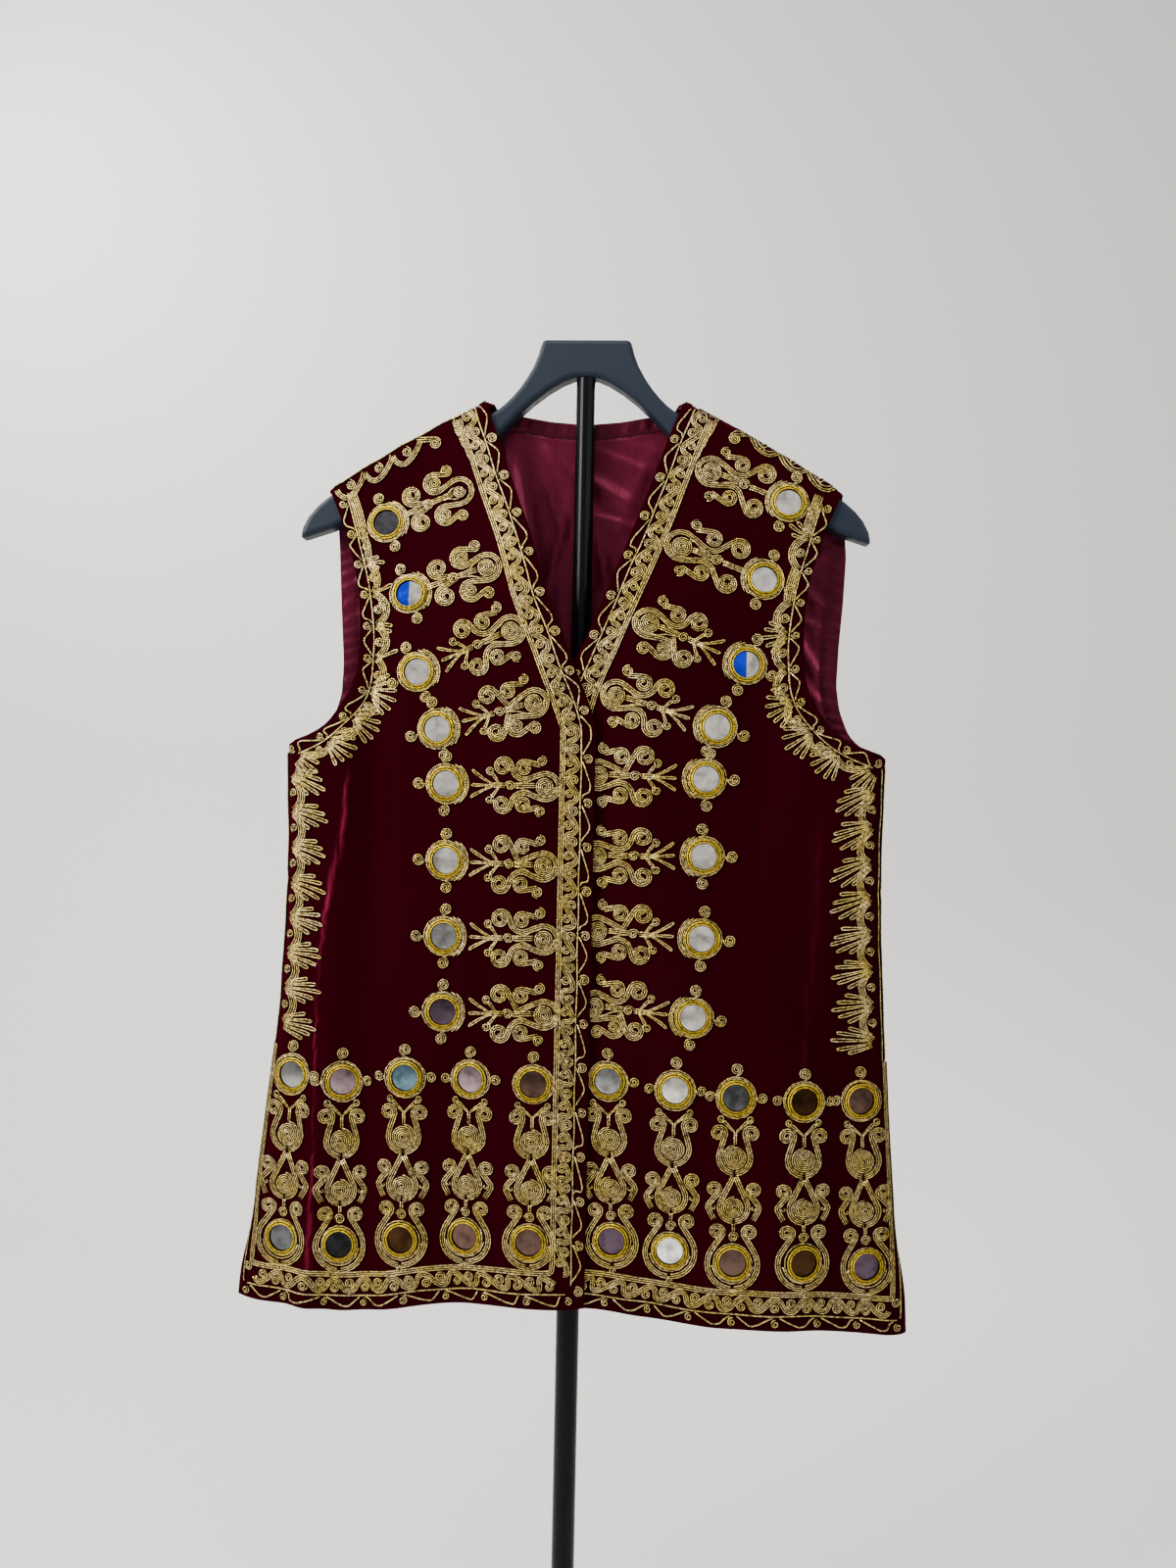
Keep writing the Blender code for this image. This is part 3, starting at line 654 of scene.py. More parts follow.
def spread_across(right, left, near_top):
    """Columns of one row: even at the hem, and following the neck's near the top."""
    halves = []
    for edge in (right, left):
        top = [0.0] + [float(place) for place in NECK_COLUMNS]
        top += list(np.linspace(NECK_X, edge, BACK_HALF + 1 - len(top)))
        even = np.linspace(0, edge, BACK_HALF + 1)
        halves.append(even + (np.array(top) - even) * near_top)
    return np.concatenate([-halves[0][:0:-1], halves[1]])


def back_places():
    """Along and height of each point of the back, rows from the hem upwards."""
    alongs, heights = [], []
    for height in BACK_ROWS:
        along = spread_across(side_seam("right", height), side_seam("left", height), 0.0)
        alongs.append(along)
        heights.append(np.full(len(along), height))
    tip_top = float(shoulder_top(TIP_X))
    for row in YOKE_ROWS:
        edge_height = float(row_height(row, tip_top))
        along = spread_across(
            outer_edge("right", BACK_ARMHOLE_CURVES["right"], edge_height),
            outer_edge("left", BACK_ARMHOLE_CURVES["left"], edge_height),
            smooth((edge_height - UNDERARM_Z) / (tip_top - RIDGE_ZONE - UNDERARM_Z)),
        )
        distance = np.abs(along)
        top = np.where(distance < NECK_X, looked_up(BACK_NECK, distance), shoulder_top(distance))
        alongs.append(along)
        heights.append(row_height(row, top))
    return np.array(alongs), np.array(heights)


def back_layer(along, height, lift):
    """Points of the back, whose two halves meet on the centre line."""
    right, _ = layer("right", False, np.abs(along), height, lift)
    left, _ = layer("left", False, np.abs(along), height, lift)
    middle = (right + left) / 2
    middle[..., 0] = 0.0
    points = np.where((along < 0)[..., None], right, left)
    return np.where((np.abs(along) < 1e-6)[..., None], middle, points)


FACING = 13.0  # width of the stitched strip along the neck and the armholes
FAR = 2000.0  # stands for no edge near
LINING_LOOSENESS = 1.3
FOLDS_TOP = 24.0  # the folds end this far below the top of the drape
LINING_FOLDS = (  # place on the lining: along, height, direction in degrees, length, width, depth
    (-34, 1202, -49, 66, 5, 3.0),
    (-66, 1182, -77, 100, 8, 2.4),
    (-27, 1160, -64, 52, 3.6, 1.9),
    (-24, 1116, -99, 64, 3.6, 1.8),
    (-54, 1138, -74, 90, 6, 2.0),
    (26, 1163, -23, 56, 6, 2.8),
    (37, 1207, -10, 66, 4.5, 1.6),
    (30, 1192, -17, 58, 4.5, 1.4),
    (29, 1140, -8, 44, 4.5, 1.8),
    (16, 1108, -66, 70, 5, 1.8),
    (46, 1176, -108, 70, 8, 1.2),
    (196, 1140, 24, 26, 4.5, 2.2),
    (192, 1110, 30, 32, 4.5, 2.6),
    (190, 1080, -34, 30, 4.5, 2.2),
    (192, 1056, -12, 26, 5, 2.0),
    (190, 1028, -52, 38, 5, 3.0),
    (196, 996, -40, 32, 4.5, 2.4),
    (206, 970, -36, 26, 4.5, 2.0),
    (-189, 1128, -154, 26, 4.5, 2.2),
    (-186, 1094, -126, 34, 5, 2.6),
    (-187, 1060, -48, 28, 4.5, 2.0),
    (-185, 1022, -132, 36, 5, 2.8),
    (-194, 984, -122, 30, 4.5, 2.2),
    (-90, 1010, -60, 180, 9, 2.4),
    (80, 1010, -115, 190, 9, 2.4),
    (0, 900, -85, 240, 12, 3.0),
    (-120, 800, -80, 260, 13, 3.0),
    (130, 780, -98, 260, 12, 3.0),
    (60, 650, -92, 200, 12, 2.6),
    (-50, 640, -86, 200, 12, 2.6),
)
BACK_FOLDS = (  # the same, on the velvet back
    (-168, 690, -87, 330, 15, 4.4),
    (-104, 640, -94, 250, 17, 3.4),
    (-34, 610, -88, 240, 14, 3.0),
    (52, 655, -93, 280, 18, 3.8),
    (112, 600, -86, 200, 13, 2.8),
    (172, 720, -94, 340, 15, 4.6),
    (150, 1010, -64, 150, 11, 2.6),
    (-158, 1030, -118, 140, 11, 2.6),
    (44, 1120, -58, 120, 10, 2.0),
    (-52, 1110, -124, 130, 10, 2.0),
)


def folded(table, along, height):
    """Sum of the ridges listed in the table."""
    depth = np.zeros_like(along)
    for place, level, degrees, length, width, rise in table:
        turn = math.radians(degrees)
        run = (along - place) * math.cos(turn) + (height - level) * math.sin(turn)
        off = -(along - place) * math.sin(turn) + (height - level) * math.cos(turn)
        off = off + 5 * np.sin(run / 40)
        ridge = np.exp(-np.abs(off / width) ** 1.3)
        valley = 0.35 * bell(off - 1.6 * width, width)
        depth += rise * (ridge - valley) * bell(run / length * 1.6, 1)
    return depth


def lining_folds(along, height):
    """How far the loose lining stands in from the back."""
    _, from_arm = into_the_lining(along, height)
    depth = LINING_LOOSENESS * folded(LINING_FOLDS, along, height)
    edge = smooth((BACK_NECK[0][1] - height) / 26) * smooth((height - HEM_Z - 20) / 30)
    shoulders = smooth((drape_top(np.abs(along)) - FOLDS_TOP - height) / 40)
    arms = smooth((from_arm - FACING + 1) / 7)
    sides = smooth((226 - np.abs(along)) / 24)
    return depth * edge * shoulders * arms * sides + stitched_edge(along, height)


def back_folds(along, height):
    """How far the velvet back stands out in its own folds."""
    from_neck, from_arm = into_the_lining(along, height)
    seam = np.where(along < 0, side_seam("right", height), side_seam("left", height)) - np.abs(along)
    edges = smooth((from_neck - 8) / 30) * smooth((from_arm - 6) / 24) * smooth((seam - 6) / 24)
    shoulders = smooth((drape_top(np.abs(along)) - FOLDS_TOP - height) / 50)
    return np.maximum(folded(BACK_FOLDS, along, height), 0.0) * edges * shoulders


def into_the_lining(along, height):
    """Distance of a point on the lining from the back's neck and from its armhole."""
    distance = np.abs(along)
    top = np.where(distance < NECK_X, looked_up(BACK_NECK, distance), FAR)
    right, left = (looked_up(BACK_ARMHOLE_CURVES[side], height) for side in ("right", "left"))
    arm = np.where(along < 0, right, left)
    return top - height, np.where(height > UNDERARM_Z + 6, arm - distance, FAR)


def stitched_edge(along, height):
    """Puckers in the strip along the back's neck and armholes, and the groove of its seam."""
    from_neck, from_arm = into_the_lining(along, height)
    made = np.zeros_like(along)
    for inset, run in ((from_neck, along), (from_arm, height)):
        inside = smooth(inset / 3) * smooth((FACING + 5 - inset) / 5)
        pucker = 0.7 * np.sin(run / 1.75 + 2 * np.sin(run / 11)) * np.sin(inset / 4.2)
        groove = -0.9 * bell(inset - FACING, 1.6)
        made = made + pucker * inside + groove + 0.5 * inside
    return made


def facing_shade(along, height):
    """How dark the facing is: most along its seam, as painted shade where the stitches pull it in."""
    shade = np.zeros_like(along)
    for inset, run, depth in zip(into_the_lining(along, height), (along, height), (0.42, 0.28)):
        strip = depth * smooth((FACING + 1 - inset) / 2)
        stitches = 0.75 + 0.25 * np.sin(run / 0.9 + 1.5 * np.sin(run / 7))
        shade = np.maximum(shade, np.maximum(strip, stitches * bell(inset - FACING, 1.5)))
    return shade


def make_back():
    along, height = back_places()
    folds = back_folds(along, height)
    outer = back_layer(along, height, folds + BACK_WALL - edge_rounding(along.shape, 0.5))
    inner = back_layer(along, height, folds + BACK_INSIDE)
    made = cloth_shell("velvet_back", outer, inner, [VELVET, SATIN])
    # Painted highlight on the crests of the back's folds
    pile_highlight = 0.16 * np.clip(folds / 3.5, 0, 1).ravel() ** 2
    paint(made, "pile_highlight", np.concatenate([pile_highlight, np.zeros_like(pile_highlight)]))
    return made


def doubled(grid):
    """The grid with a point added between each two."""
    for _ in range(2):
        count = len(grid)
        columns = [np.interp(np.arange(2 * count - 1) / 2, np.arange(count), line) for line in grid.T]
        grid = np.array(columns)
    return grid


def make_lining():
    along, height = (doubled(grid) for grid in back_places())
    # It ends short of the hem and of the seams
    along, height = along[2:-2], height[2:-2]
    edge = np.sign(along[:, [0, -1]]) * 1.5
    along[:, [0, -1]] -= edge
    along[:, [1, -2]] -= edge / 2
    loose = lining_folds(along, height)
    outer = back_layer(along, height, LINING_FACE - loose)
    inner = back_layer(along, height, LINING_INSIDE - loose)
    made = cloth_shell("satin_back_lining", outer, inner, [SATIN, SATIN])
    # The facing's darker colour, and painted shade along its seam
    shade = facing_shade(along, height).ravel()
    paint(made, "facing", np.concatenate([shade, shade]))
    return made


# ---------------------------------------------------------------- cord work

CORD_R, CORD_PITCH = 0.81, 1.64
PETAL_R, THICK_R = 0.85, 0.95  # petals and single lines are laid in thicker cords
CORD_SIDES = 5
TWIST_PITCH = 1.9  # spacing along the cord of its twisted threads
CORD_SEAT = 0.8  # height of a cord's middle above the velvet, in its radii
COIL_EYE, COIL_REACH = 0.7, 0.3  # innermost radius, and how far the rim reaches out in pitches
STRING_EYE, STRING_STEP = 1.7, 1.2  # innermost radius where a string is wound in, and its steps
THIN_TURN, THIN_LENGTH = 17.0, 5.0  # most degrees and length between a cord's points
MIRROR_RINGS, HEM_RINGS = (14.8, 16.2), (15.0, 16.4)  # radii of the cords round a mirror
work = {"right": [], "left": []}  # each cord: points on the cloth, lifts and radius


def curve(points):
    """A smooth line through the points, with a point about every millimetre."""
    points = np.array(points, float)
    if len(points) < 3:
        return points
    padded = np.concatenate([[2 * points[0] - points[1]], points, [2 * points[-1] - points[-2]]])
    made = []
    for before, here, there, after in zip(padded, padded[1:], padded[2:], padded[3:]):
        count = max(2, int(np.linalg.norm(there - here)))
        t = np.linspace(0, 1, count, endpoint=False)[:, None]
        square = (2 * before - 5 * here + 4 * there - after) * t**2
        cube = (3 * here - before - 3 * there + after) * t**3
        made.append(0.5 * (2 * here + (there - before) * t + square + cube))
    return np.concatenate(made + [points[-1:]])


def arc(first, last, radius):
    """Points between two angles in degrees; two radii make an oval."""
    angle = np.radians(np.linspace(first, last, 20))
    return np.stack([np.cos(angle), np.sin(angle)], axis=1) * radius


def beside(points, offset):
    """The same line, moved sideways."""
    way = unit(np.gradient(points, axis=0))
    return points + np.stack([-way[:, 1], way[:, 0]], axis=1) * offset


def thinned(points, lifts):
    """Drops points where the line is nearly straight."""
    way = np.diff(points, axis=0)
    angle = np.degrees(np.unwrap(np.arctan2(way[:, 1], way[:, 0])))
    run = run_along(points)
    kept = [0]
    for index in range(1, len(points) - 1):
        turned, gone = abs(angle[index] - angle[kept[-1]]), run[index] - run[kept[-1]]
        if turned >= THIN_TURN or gone >= THIN_LENGTH:
            kept.append(index)
    kept.append(len(points) - 1)
    return points[kept], lifts[kept]


def lay_cords(side, line, count=1, thick=CORD_R):
    """Lays cords side by side along a line on the flat cloth."""
    for number in range(count):
        moved = beside(line, (number - (count - 1) / 2) * CORD_PITCH)
        work[side].append((moved, np.zeros(len(moved)), thick))


class Place:
    """A flat frame on the cloth: origin, the way its x runs, and which way its y turns."""

    def __init__(self, side, origin, x_way=(1, 0), y_way=(0, 1)):
        self.side = side
        self.origin, self.x_way, self.y_way = (np.array(v, float) for v in (origin, x_way, y_way))

    def on_cloth(self, points):
        points = np.asarray(points, float)
        return self.origin + points[:, :1] * self.x_way + points[:, 1:] * self.y_way

    def cords(self, points, count=1, smoothed=True, thick=CORD_R):
        line = curve(points) if smoothed else points
        lay_cords(self.side, self.on_cloth(line), count, thick)

    def coil(self, centre, radius, start=0.0, turn=1, dome=0.5):
        """A cord coiled flat from its rim to its centre."""
        radius = radius - CORD_R + COIL_REACH * CORD_PITCH
        turns = max((radius - COIL_EYE) / CORD_PITCH, 0.6)
        t = np.linspace(0, 1, max(int(turns * 15), 9))
        r = radius + (COIL_EYE - radius) * t
        angle = math.radians(start) + turn * math.tau * turns * t
        points = np.array(centre) + np.stack([r * np.cos(angle), r * np.sin(angle)], axis=1)
        lifts = dome * (1 - (r / max(radius, 1)) ** 2)
        work[self.side].append((self.on_cloth(points), lifts, CORD_R))


def tangent(first, second):
    """The way a taut string runs from one peg to the next, as an angle."""
    (x0, y0, r0, turn0), (x1, y1, r1, turn1) = first, second
    gap = math.hypot(x1 - x0, y1 - y0)
    lean = max(-1.0, min(1.0, (r1 * turn1 - r0 * turn0) / gap))
    return math.atan2(y1 - y0, x1 - x0) - math.asin(lean)


def on_peg(peg, way, radius):
    """Where a string that runs this way touches a peg, or a circle of this radius round it."""
    x, y, _, turn = peg
    return np.array([x + math.sin(way) * radius * turn, y - math.cos(way) * radius * turn])


def string_line(pegs, winds):
    """A string round pegs (x, y, radius, turn), wound in round the last one by some degrees."""
    ways = [tangent(first, second) for first, second in zip(pegs, pegs[1:])]
    points = [on_peg(pegs[0], ways[0], pegs[0][2])]
    for number, peg in enumerate(pegs[1:], start=1):
        _, _, radius, turn = peg
        arriving, is_last = ways[number - 1], number == len(ways)
        here, there = points[-1], on_peg(peg, arriving, radius)
        count = max(int(np.linalg.norm(there - here) / 3), 1)
        points += [here + (there - here) * share for share in np.linspace(0, 1, count + 1)[1:]]
        if not radius:
            continue
        sweep = math.radians(winds) if is_last else (turn * (ways[number] - arriving)) % math.tau
        inwards = min(STRING_EYE, radius) - radius if is_last else 0.0
        for share in np.linspace(0, 1, max(int(sweep * radius / STRING_STEP), 2) + 1)[1:]:
            reach = radius + inwards * max(share - 0.12, 0) / 0.88
            points.append(on_peg(peg, arriving + turn * sweep * share, reach))
    return np.array(points)


def strung(place, pegs, winds):
    """Three cords side by side along a string round pegs; a pair stands for a point."""
    pegs = [peg if len(peg) == 4 else (*peg, 0.0, 1) for peg in pegs]
    place.cords(string_line(pegs, winds), 3, smoothed=False)


PETAL = ((0.0, 0.5), (0.35, 0.55), (0.7, 0.9), (0.88, 1.0), (0.97, 0.7), (1.0, 0.0))


def petal(place, base, degrees, length, width, tip=None, bend=0.0):
    """A hairpin of cord that may bend by some degrees; tip is the radius of a coil at its end."""
    there, back = [], []
    for u, v in PETAL:
        # Chord and heading of a gentle arc
        chord, heading = (math.radians(degrees + bend * u * share) for share in (0.5, 1.0))
        here = np.array(base, float) + length * u * np.array([math.cos(chord), math.sin(chord)])
        across = np.array([-math.sin(heading), math.cos(heading)]) * width * v
        there.append(here + across)
        back.append(here - across)
    place.cords(there + back[-2::-1], thick=PETAL_R)
    if tip:
        end = math.radians(degrees + bend / 2)
        centre = np.array(base, float) + (length + tip * 0.7) * np.array([math.cos(end), math.sin(end)])
        place.coil(centre, tip, degrees + 180)


def palmette(place, degrees, length, petals, spread, pointed, foot):
    """Hairpins fanned from a short foot, the middle ones longer."""
    for number in range(petals):
        share = number / (petals - 1) - 0.5 if petals > 1 else 0.0
        reach = length * (1 - pointed * abs(2 * share) ** 1.4 * 0.5) * chance.uniform(0.95, 1.05)
        turned = degrees + spread * share + chance.uniform(-2, 2)
        petal(place, (-foot * share, -2 * abs(share)), turned, reach, 1.2, bend=-14 * share)


def mirror_rings(place, rings, dots):
    """Rings of cord round a mirror, and coiled dots beside it."""
    for radius in rings:
        angle = np.linspace(0, math.tau, 33) + chance.uniform(0, 6)
        wobble = radius + 0.25 * np.sin(2 * angle + chance.uniform(0, 6))
        points = np.stack([np.cos(angle), np.sin(angle)], axis=1) * wobble[:, None]
        place.cords(points, smoothed=False)
    for centre, radius in dots:
        place.coil(centre, radius, math.degrees(math.atan2(-centre[1], -centre[0])), dome=0.8)


# Half sprays in mm: x runs from the head to the mirror, and y away from the stem. Each is a few
# strings (a start, pegs x, y, radius, turn, and the degrees wound in round the last peg) and
# coils (x, y, radius). Their places and sizes are those of the photo's motifs, rounded.
HEAD, BUD, CURL, TAIL = (0, 0, 10.8), (17, 15), (34, 15.5, 6.6), (3.5, 21, 4.8)
FROM_TAIL = (((4.5, 17.6), (*BUD, 5.3, -1)), 420)
HALF_SPRAYS = {
    "over": {
        "strings": ((((-10.8, 0), (*HEAD, -1), (*BUD, 9.6, 1), (*CURL, -1)), 470), FROM_TAIL),
        "coils": (TAIL,),
    },
    "under": {
        "strings": (
            (((-10.8, 0), (*HEAD, -1), (*BUD, 7.6, 1), (4, 21, 3.8, -1)), 310),
            (((21, 3), (*CURL, -1)), 490),
        ),
        "coils": ((*BUD, 5.6),),
    },
    "closed": {
        "strings": (
            (((-10.8, 0), (*HEAD, -1), (20, 2.6)), 0), (((20, 2.6), (*CURL, -1)), 470), FROM_TAIL,
        ),
        "coils": (TAIL,),
    },
    "wide": {
        "strings": (
            (((-11.5, 0), (0, 0, 11.5, -1), (20, 15, 9.8, 1), (41, 15, 7.2, -1)), 520),
            (((6, 17), (20, 15, 5.5, -1)), 420),
        ),
        "coils": ((5, 20.5, 4.8),),
    },
    "round": {
        "strings": (
            (((-10.8, 0), (*HEAD, -1), (17, 14.5, 7.6, 1), (4.5, 21, 3.4, -1)), 300),
            (((29, 2), (38, 12, 7.2, 1)), 520),
        ),
        "coils": ((17, 14.5, 5.6),),
    },
}
SPRAY_KINDS = {  # the halves above and below each stem, and the head's radius
    "right": (
        ("round", "round", 5.6), ("round", "round", 7.8), ("over", "over", 8.2),
        ("closed", "under", 8.2), ("over", "over", 8.2), ("closed", "over", 8.4),
        ("over", "over", 8.2), ("closed", "over", 8.4),
    ),
    "left": (
        ("wide", "wide", 8.8), ("wide", "wide", 8.8), ("over", "under", 8.4),
        ("over", "over", 8.2), ("closed", "over", 8.4), ("over", "over", 8.2),
        ("closed", "over", 8.4), ("over", "under", 8.2),
    ),
}
SPRIG = (  # degrees off the stem, place of the foot, length, bend, radius of the coil at the tip
    (58, 36, 11.5, -8, 3.9), (22, 40, 22, 16, None), (0, 42, 17, 0, None), (-22, 40, 22, -16, None),
    (-58, 36, 11.5, 8, 3.9),
)
DROP = ((0.45, 0.92), (1.0, 0.80), (1.6, 0.45), (2.2, 0.25), (2.75, 0.2))  # in the head's radii
SHORT_SPRAYS, SHORT_LENGTH, SPRAY_LENGTH = 2, 66.0, 80.0  # the first sprays are short


def half_spray(place, kind, turned):
    """The strings and coils on one side of a spray's stem."""
    for pegs, winds in HALF_SPRAYS[kind]["strings"]:
        strung(place, pegs, winds)
    for x, y, radius in HALF_SPRAYS[kind]["coils"]:
        place.coil((x, y), radius * chance.uniform(0.96, 1.03), 90, turned)


def spray(side, number):
    """A curled branch that runs from the front band to a mirror."""
    head, mirror = np.array(HEADS[side][number], float), np.array(MIRRORS[side][number], float)
    above, below, head_radius = SPRAY_KINDS[side][number]
    is_short = number < SHORT_SPRAYS
    way = mirror - head
    reach = np.linalg.norm(way)
    way /= reach
    up = np.array([-way[1], way[0]])
    stretch = reach / (SHORT_LENGTH if is_short else SPRAY_LENGTH)
    stem = Place(side, head, way * stretch, up)
    stem.coil((0, 0), head_radius, 180, 1, 1.2)
    for kind, turned in ((above, 1), (below, -1)):
        y_way = up * turned * chance.uniform(0.95, 1.03)
        # One number of each pair drawn here is used
        shift, _ = chance.uniform(-0.5, 0.5, 2)
        half_spray(Place(side, head + way * shift * 0.6, way * stretch, y_way), kind, turned)
    stem.cords([(head_radius + 0.2, 0.7), (17, 0.6), (24.5, 0.4)], 3)
    for way_up in (1, -1):
        stem.cords([(head_radius * u, head_radius * v * way_up) for u, v in DROP])
    stem.coil((28.0, 0), 5.0 if is_short else 4.4)
    if is_short:
        stem.cords([(33.4, 0), (42, 0), (50, 0)], 3)
    else:
        stem.cords([(32.6, 0.2), (37, 0.1), (42, 0)], 3)
        for degrees, foot, length, bend, tip in SPRIG:
            turned = degrees + chance.uniform(-2.5, 2.5)
            petal(stem, (foot, 0), turned, length / stretch, 0.95, tip, bend)
    ringed = Place(side, mirror, way, up)
    for row in range(2):
        ringed.cords(arc(115 + 12 * row, 245 - 12 * row, 17.5 + 1.4 * row), smoothed=False)
    dots = [((22.3, 0), 5.2), ((chance.uniform(-2, 1), 21.6), 5.3), ((chance.uniform(-1, 2), -21.6), 5.2)]
    mirror_rings(ringed, MIRROR_RINGS, dots)


# A hem column in mm, from its upper mirror down: strings for one half
LYRE = (((1, -60.2), (0, -47.5, 12.7, 1), (13, -28.5, 5.4, -1)), 420)
OGEE = (((1, -63), (0, -87, 11.2, -1), (1, -98.2)), 0)
SIDE_SCROLL = (((15.5, -96.5), (15.5, -87, 4.6, 1), (16, -73, 4.8, -1)), 400)
LOW_LYRE = (((1.5, -151.2), (0, -131.5, 19.8, 1), (13, -106.5, 5.0, -1)), 420)
HEM_LENGTH = 130.5  # from the upper mirror to the lower one


def hem_column(side, number):
    """A lyre, an ogee and a second lyre, hung between two mirrors."""
    upper, lower = (np.array(MIRRORS[side][at], float) for at in (number, number + HEM_COLUMNS))
    up = (upper - lower) / HEM_LENGTH
    middle = Place(side, upper, (1, 0), up)
    # The last column has a dot on its inner side only
    ways = (1, -1) if number < LAST_COLUMN else (-1,)
    mirror_rings(middle, HEM_RINGS, [((0, 22.6), 5.3)] + [((20.8 * way, 0.5), 4.6) for way in ways])
    for way in (1, -1):
        half = Place(side, upper, (way * chance.uniform(0.95, 1.04), 0), up)
        petal(half, (1, -27), 42 + chance.uniform(-3, 3), 12, 1.0, 3.5)
        for pegs, winds in (LYRE, OGEE, SIDE_SCROLL, LOW_LYRE):
            strung(half, pegs, winds)
        half.coil((15.5, -87), 2.2, 0, -1)
    middle.cords([(0, -27), (0, -32), (0, -37)], 2)
    middle.coil((0, -47.5), 10.2, 90, 1, 1.1)
    middle.coil((0, -87), 8.8, 90, 1, 1.1)
    middle.cords([(0, -100), (0, -103), (0, -105.6)], 2)
    middle.cords(arc(190, 350, (16.5, 16.7)) - (0, HEM_LENGTH), smoothed=False)
    middle.coil((0, -110.2), 4.5)
    middle.coil((0, -155), 2.9)
    mirror_rings(Place(side, lower), HEM_RINGS[:1], [])


class Band:
    """A strip along an edge of the cloth: s runs along it, and d is the distance in."""

    def __init__(self, side, outside, inside, depth, reach):
        self.side, self.depth = side, depth
        self.outside, self.inside = (self.rounded(self.dense(line), reach) for line in (outside, inside))
        self.run = run_along(self.outside * 0.35 + self.inside * 0.65)
        self.length = self.run[-1]

    @staticmethod
    def dense(legs):
        """One line through all the legs, each divided into its count of steps."""
        made = []
        for leg, count in legs:
            leg = np.array(leg, float)
            run = run_along(leg)
            made.append(read_along(np.linspace(0, run[-1], count, endpoint=False), run, leg))
        return np.concatenate(made + [leg[-1:]])

    @staticmethod
    def rounded(line, reach):
        """The line with its corners rounded over this many points each way."""
        kernel = np.hanning(2 * reach + 3)[1:-1]
        kernel /= kernel.sum()
        padded = np.pad(line, ((reach, reach), (0, 0)), "reflect", reflect_type="odd")
        return np.stack([np.convolve(padded[:, i], kernel, "valid") for i in (0, 1)], axis=1)

    def at(self, s, d):
        s, d = np.broadcast_arrays(np.asarray(s, float), np.asarray(d, float))
        near, far = (read_along(s, self.run, line) for line in (self.outside, self.inside))
        return near + (far - near) * (d / self.depth)[..., None]

    def cords(self, s, d, count=1, thick=CORD_R):
        lay_cords(self.side, self.at(s, d), count, thick)

    def place(self, s, d):
        """A flat frame whose x runs along the band and whose y points inwards."""
        here = self.at(s, d)
        inward = self.at(s, d + 1) - here
        inward /= np.linalg.norm(inward)
        return Place(self.side, here, (inward[1], -inward[0]), inward)

    def coil(self, s, d, radius, start=90.0, turn=1):
        self.place(s, d).coil((0, 0), radius, start, turn)

    def bay(self, s, pitch, d, swing, power, count):
        """Cords side by side that bow inwards over one bay."""
        share = np.linspace(0, 1, 24)
        self.cords(s + pitch * share, d + swing * np.sin(np.pi * share) ** power, count)


FRONT_BAND, HEM_BAND, SLIT_BAND, ARM_BAND = 28.0, 32.0, 13.0, 26.0  # widths
BANDS_MEET = 700.0  # height at which the slit's border and the armhole's meet
# Distances from a band's outer edge: its zigzag's line, its scroll, its ribbon of cords and
# the armhole's bows
ZIGZAG_D, SCROLL_D, RIBBON_D, ARM_ZIGZAG_D, BOW_D = 11.0, 18.2, 25.9, 12.6, 15.4
SCROLL_PERIOD, SCROLL_SWING = 25, 4.3
ZIGZAG_RISE = np.array([0.0, 0.72, 1.0, 0.86, 0.16, 0.0])  # of the crooked line in each bay


def zigzag(band, start, end, pitch, line_d, tip_d, dot_r):
    """A single line, a crooked line outside it and a coiled dot at each of its feet."""
    count = max(int(round((end - start) / pitch)), 1)
    pitch = (end - start) / count
    s = np.arange(start - 2, end + 2, 1.5)
    band.cords(s, line_d + 0.3 * np.sin(s / 9), thick=THICK_R)
    dot_d = line_d - CORD_R * 2 - dot_r
    for number in range(count):
        foot = start + number * pitch
        peak = chance.uniform(0.34, 0.62)
        shares = np.array([0.1, peak * 0.75, peak, peak + 0.16, 0.84, 0.93])
        line = curve(np.stack([shares * pitch, ZIGZAG_RISE * 8], axis=1))
        d = line_d - 1.3 - (line_d - 1.3 - tip_d) * line[:, 1] / 8
        band.cords(foot + line[:, 0], d, thick=THICK_R)
        band.coil(foot, dot_d + chance.uniform(0, 0.5), dot_r * chance.uniform(0.93, 1.07))
    band.coil(end, dot_d, dot_r)


def running_scroll(band, start, end, coil_r):
    """Cords that weave between two rows of coils."""
    turns = max(int(round((end - start) / SCROLL_PERIOD)), 1)
    period = (end - start) / turns
    s = np.arange(start, end, 1.0)
    bend = np.sin(math.tau * (s - start) / period)
    band.cords(s, SCROLL_D + SCROLL_SWING * np.sign(bend) * np.abs(bend) ** 0.72, 3)
    for number in range(2 * turns):
        at = start + period * (number + 0.5) / 2 + chance.uniform(-0.5, 0.5)
        way = (1, -1)[number % 2]
        band.coil(at, SCROLL_D - way * 1.6, coil_r * chance.uniform(0.95, 1.05), 90 * way, way)




def side_line(side, levels, inset):
    """Places beside the side seam at these heights."""
    return [(float(side_seam(side, level)) - inset, level) for level in levels]


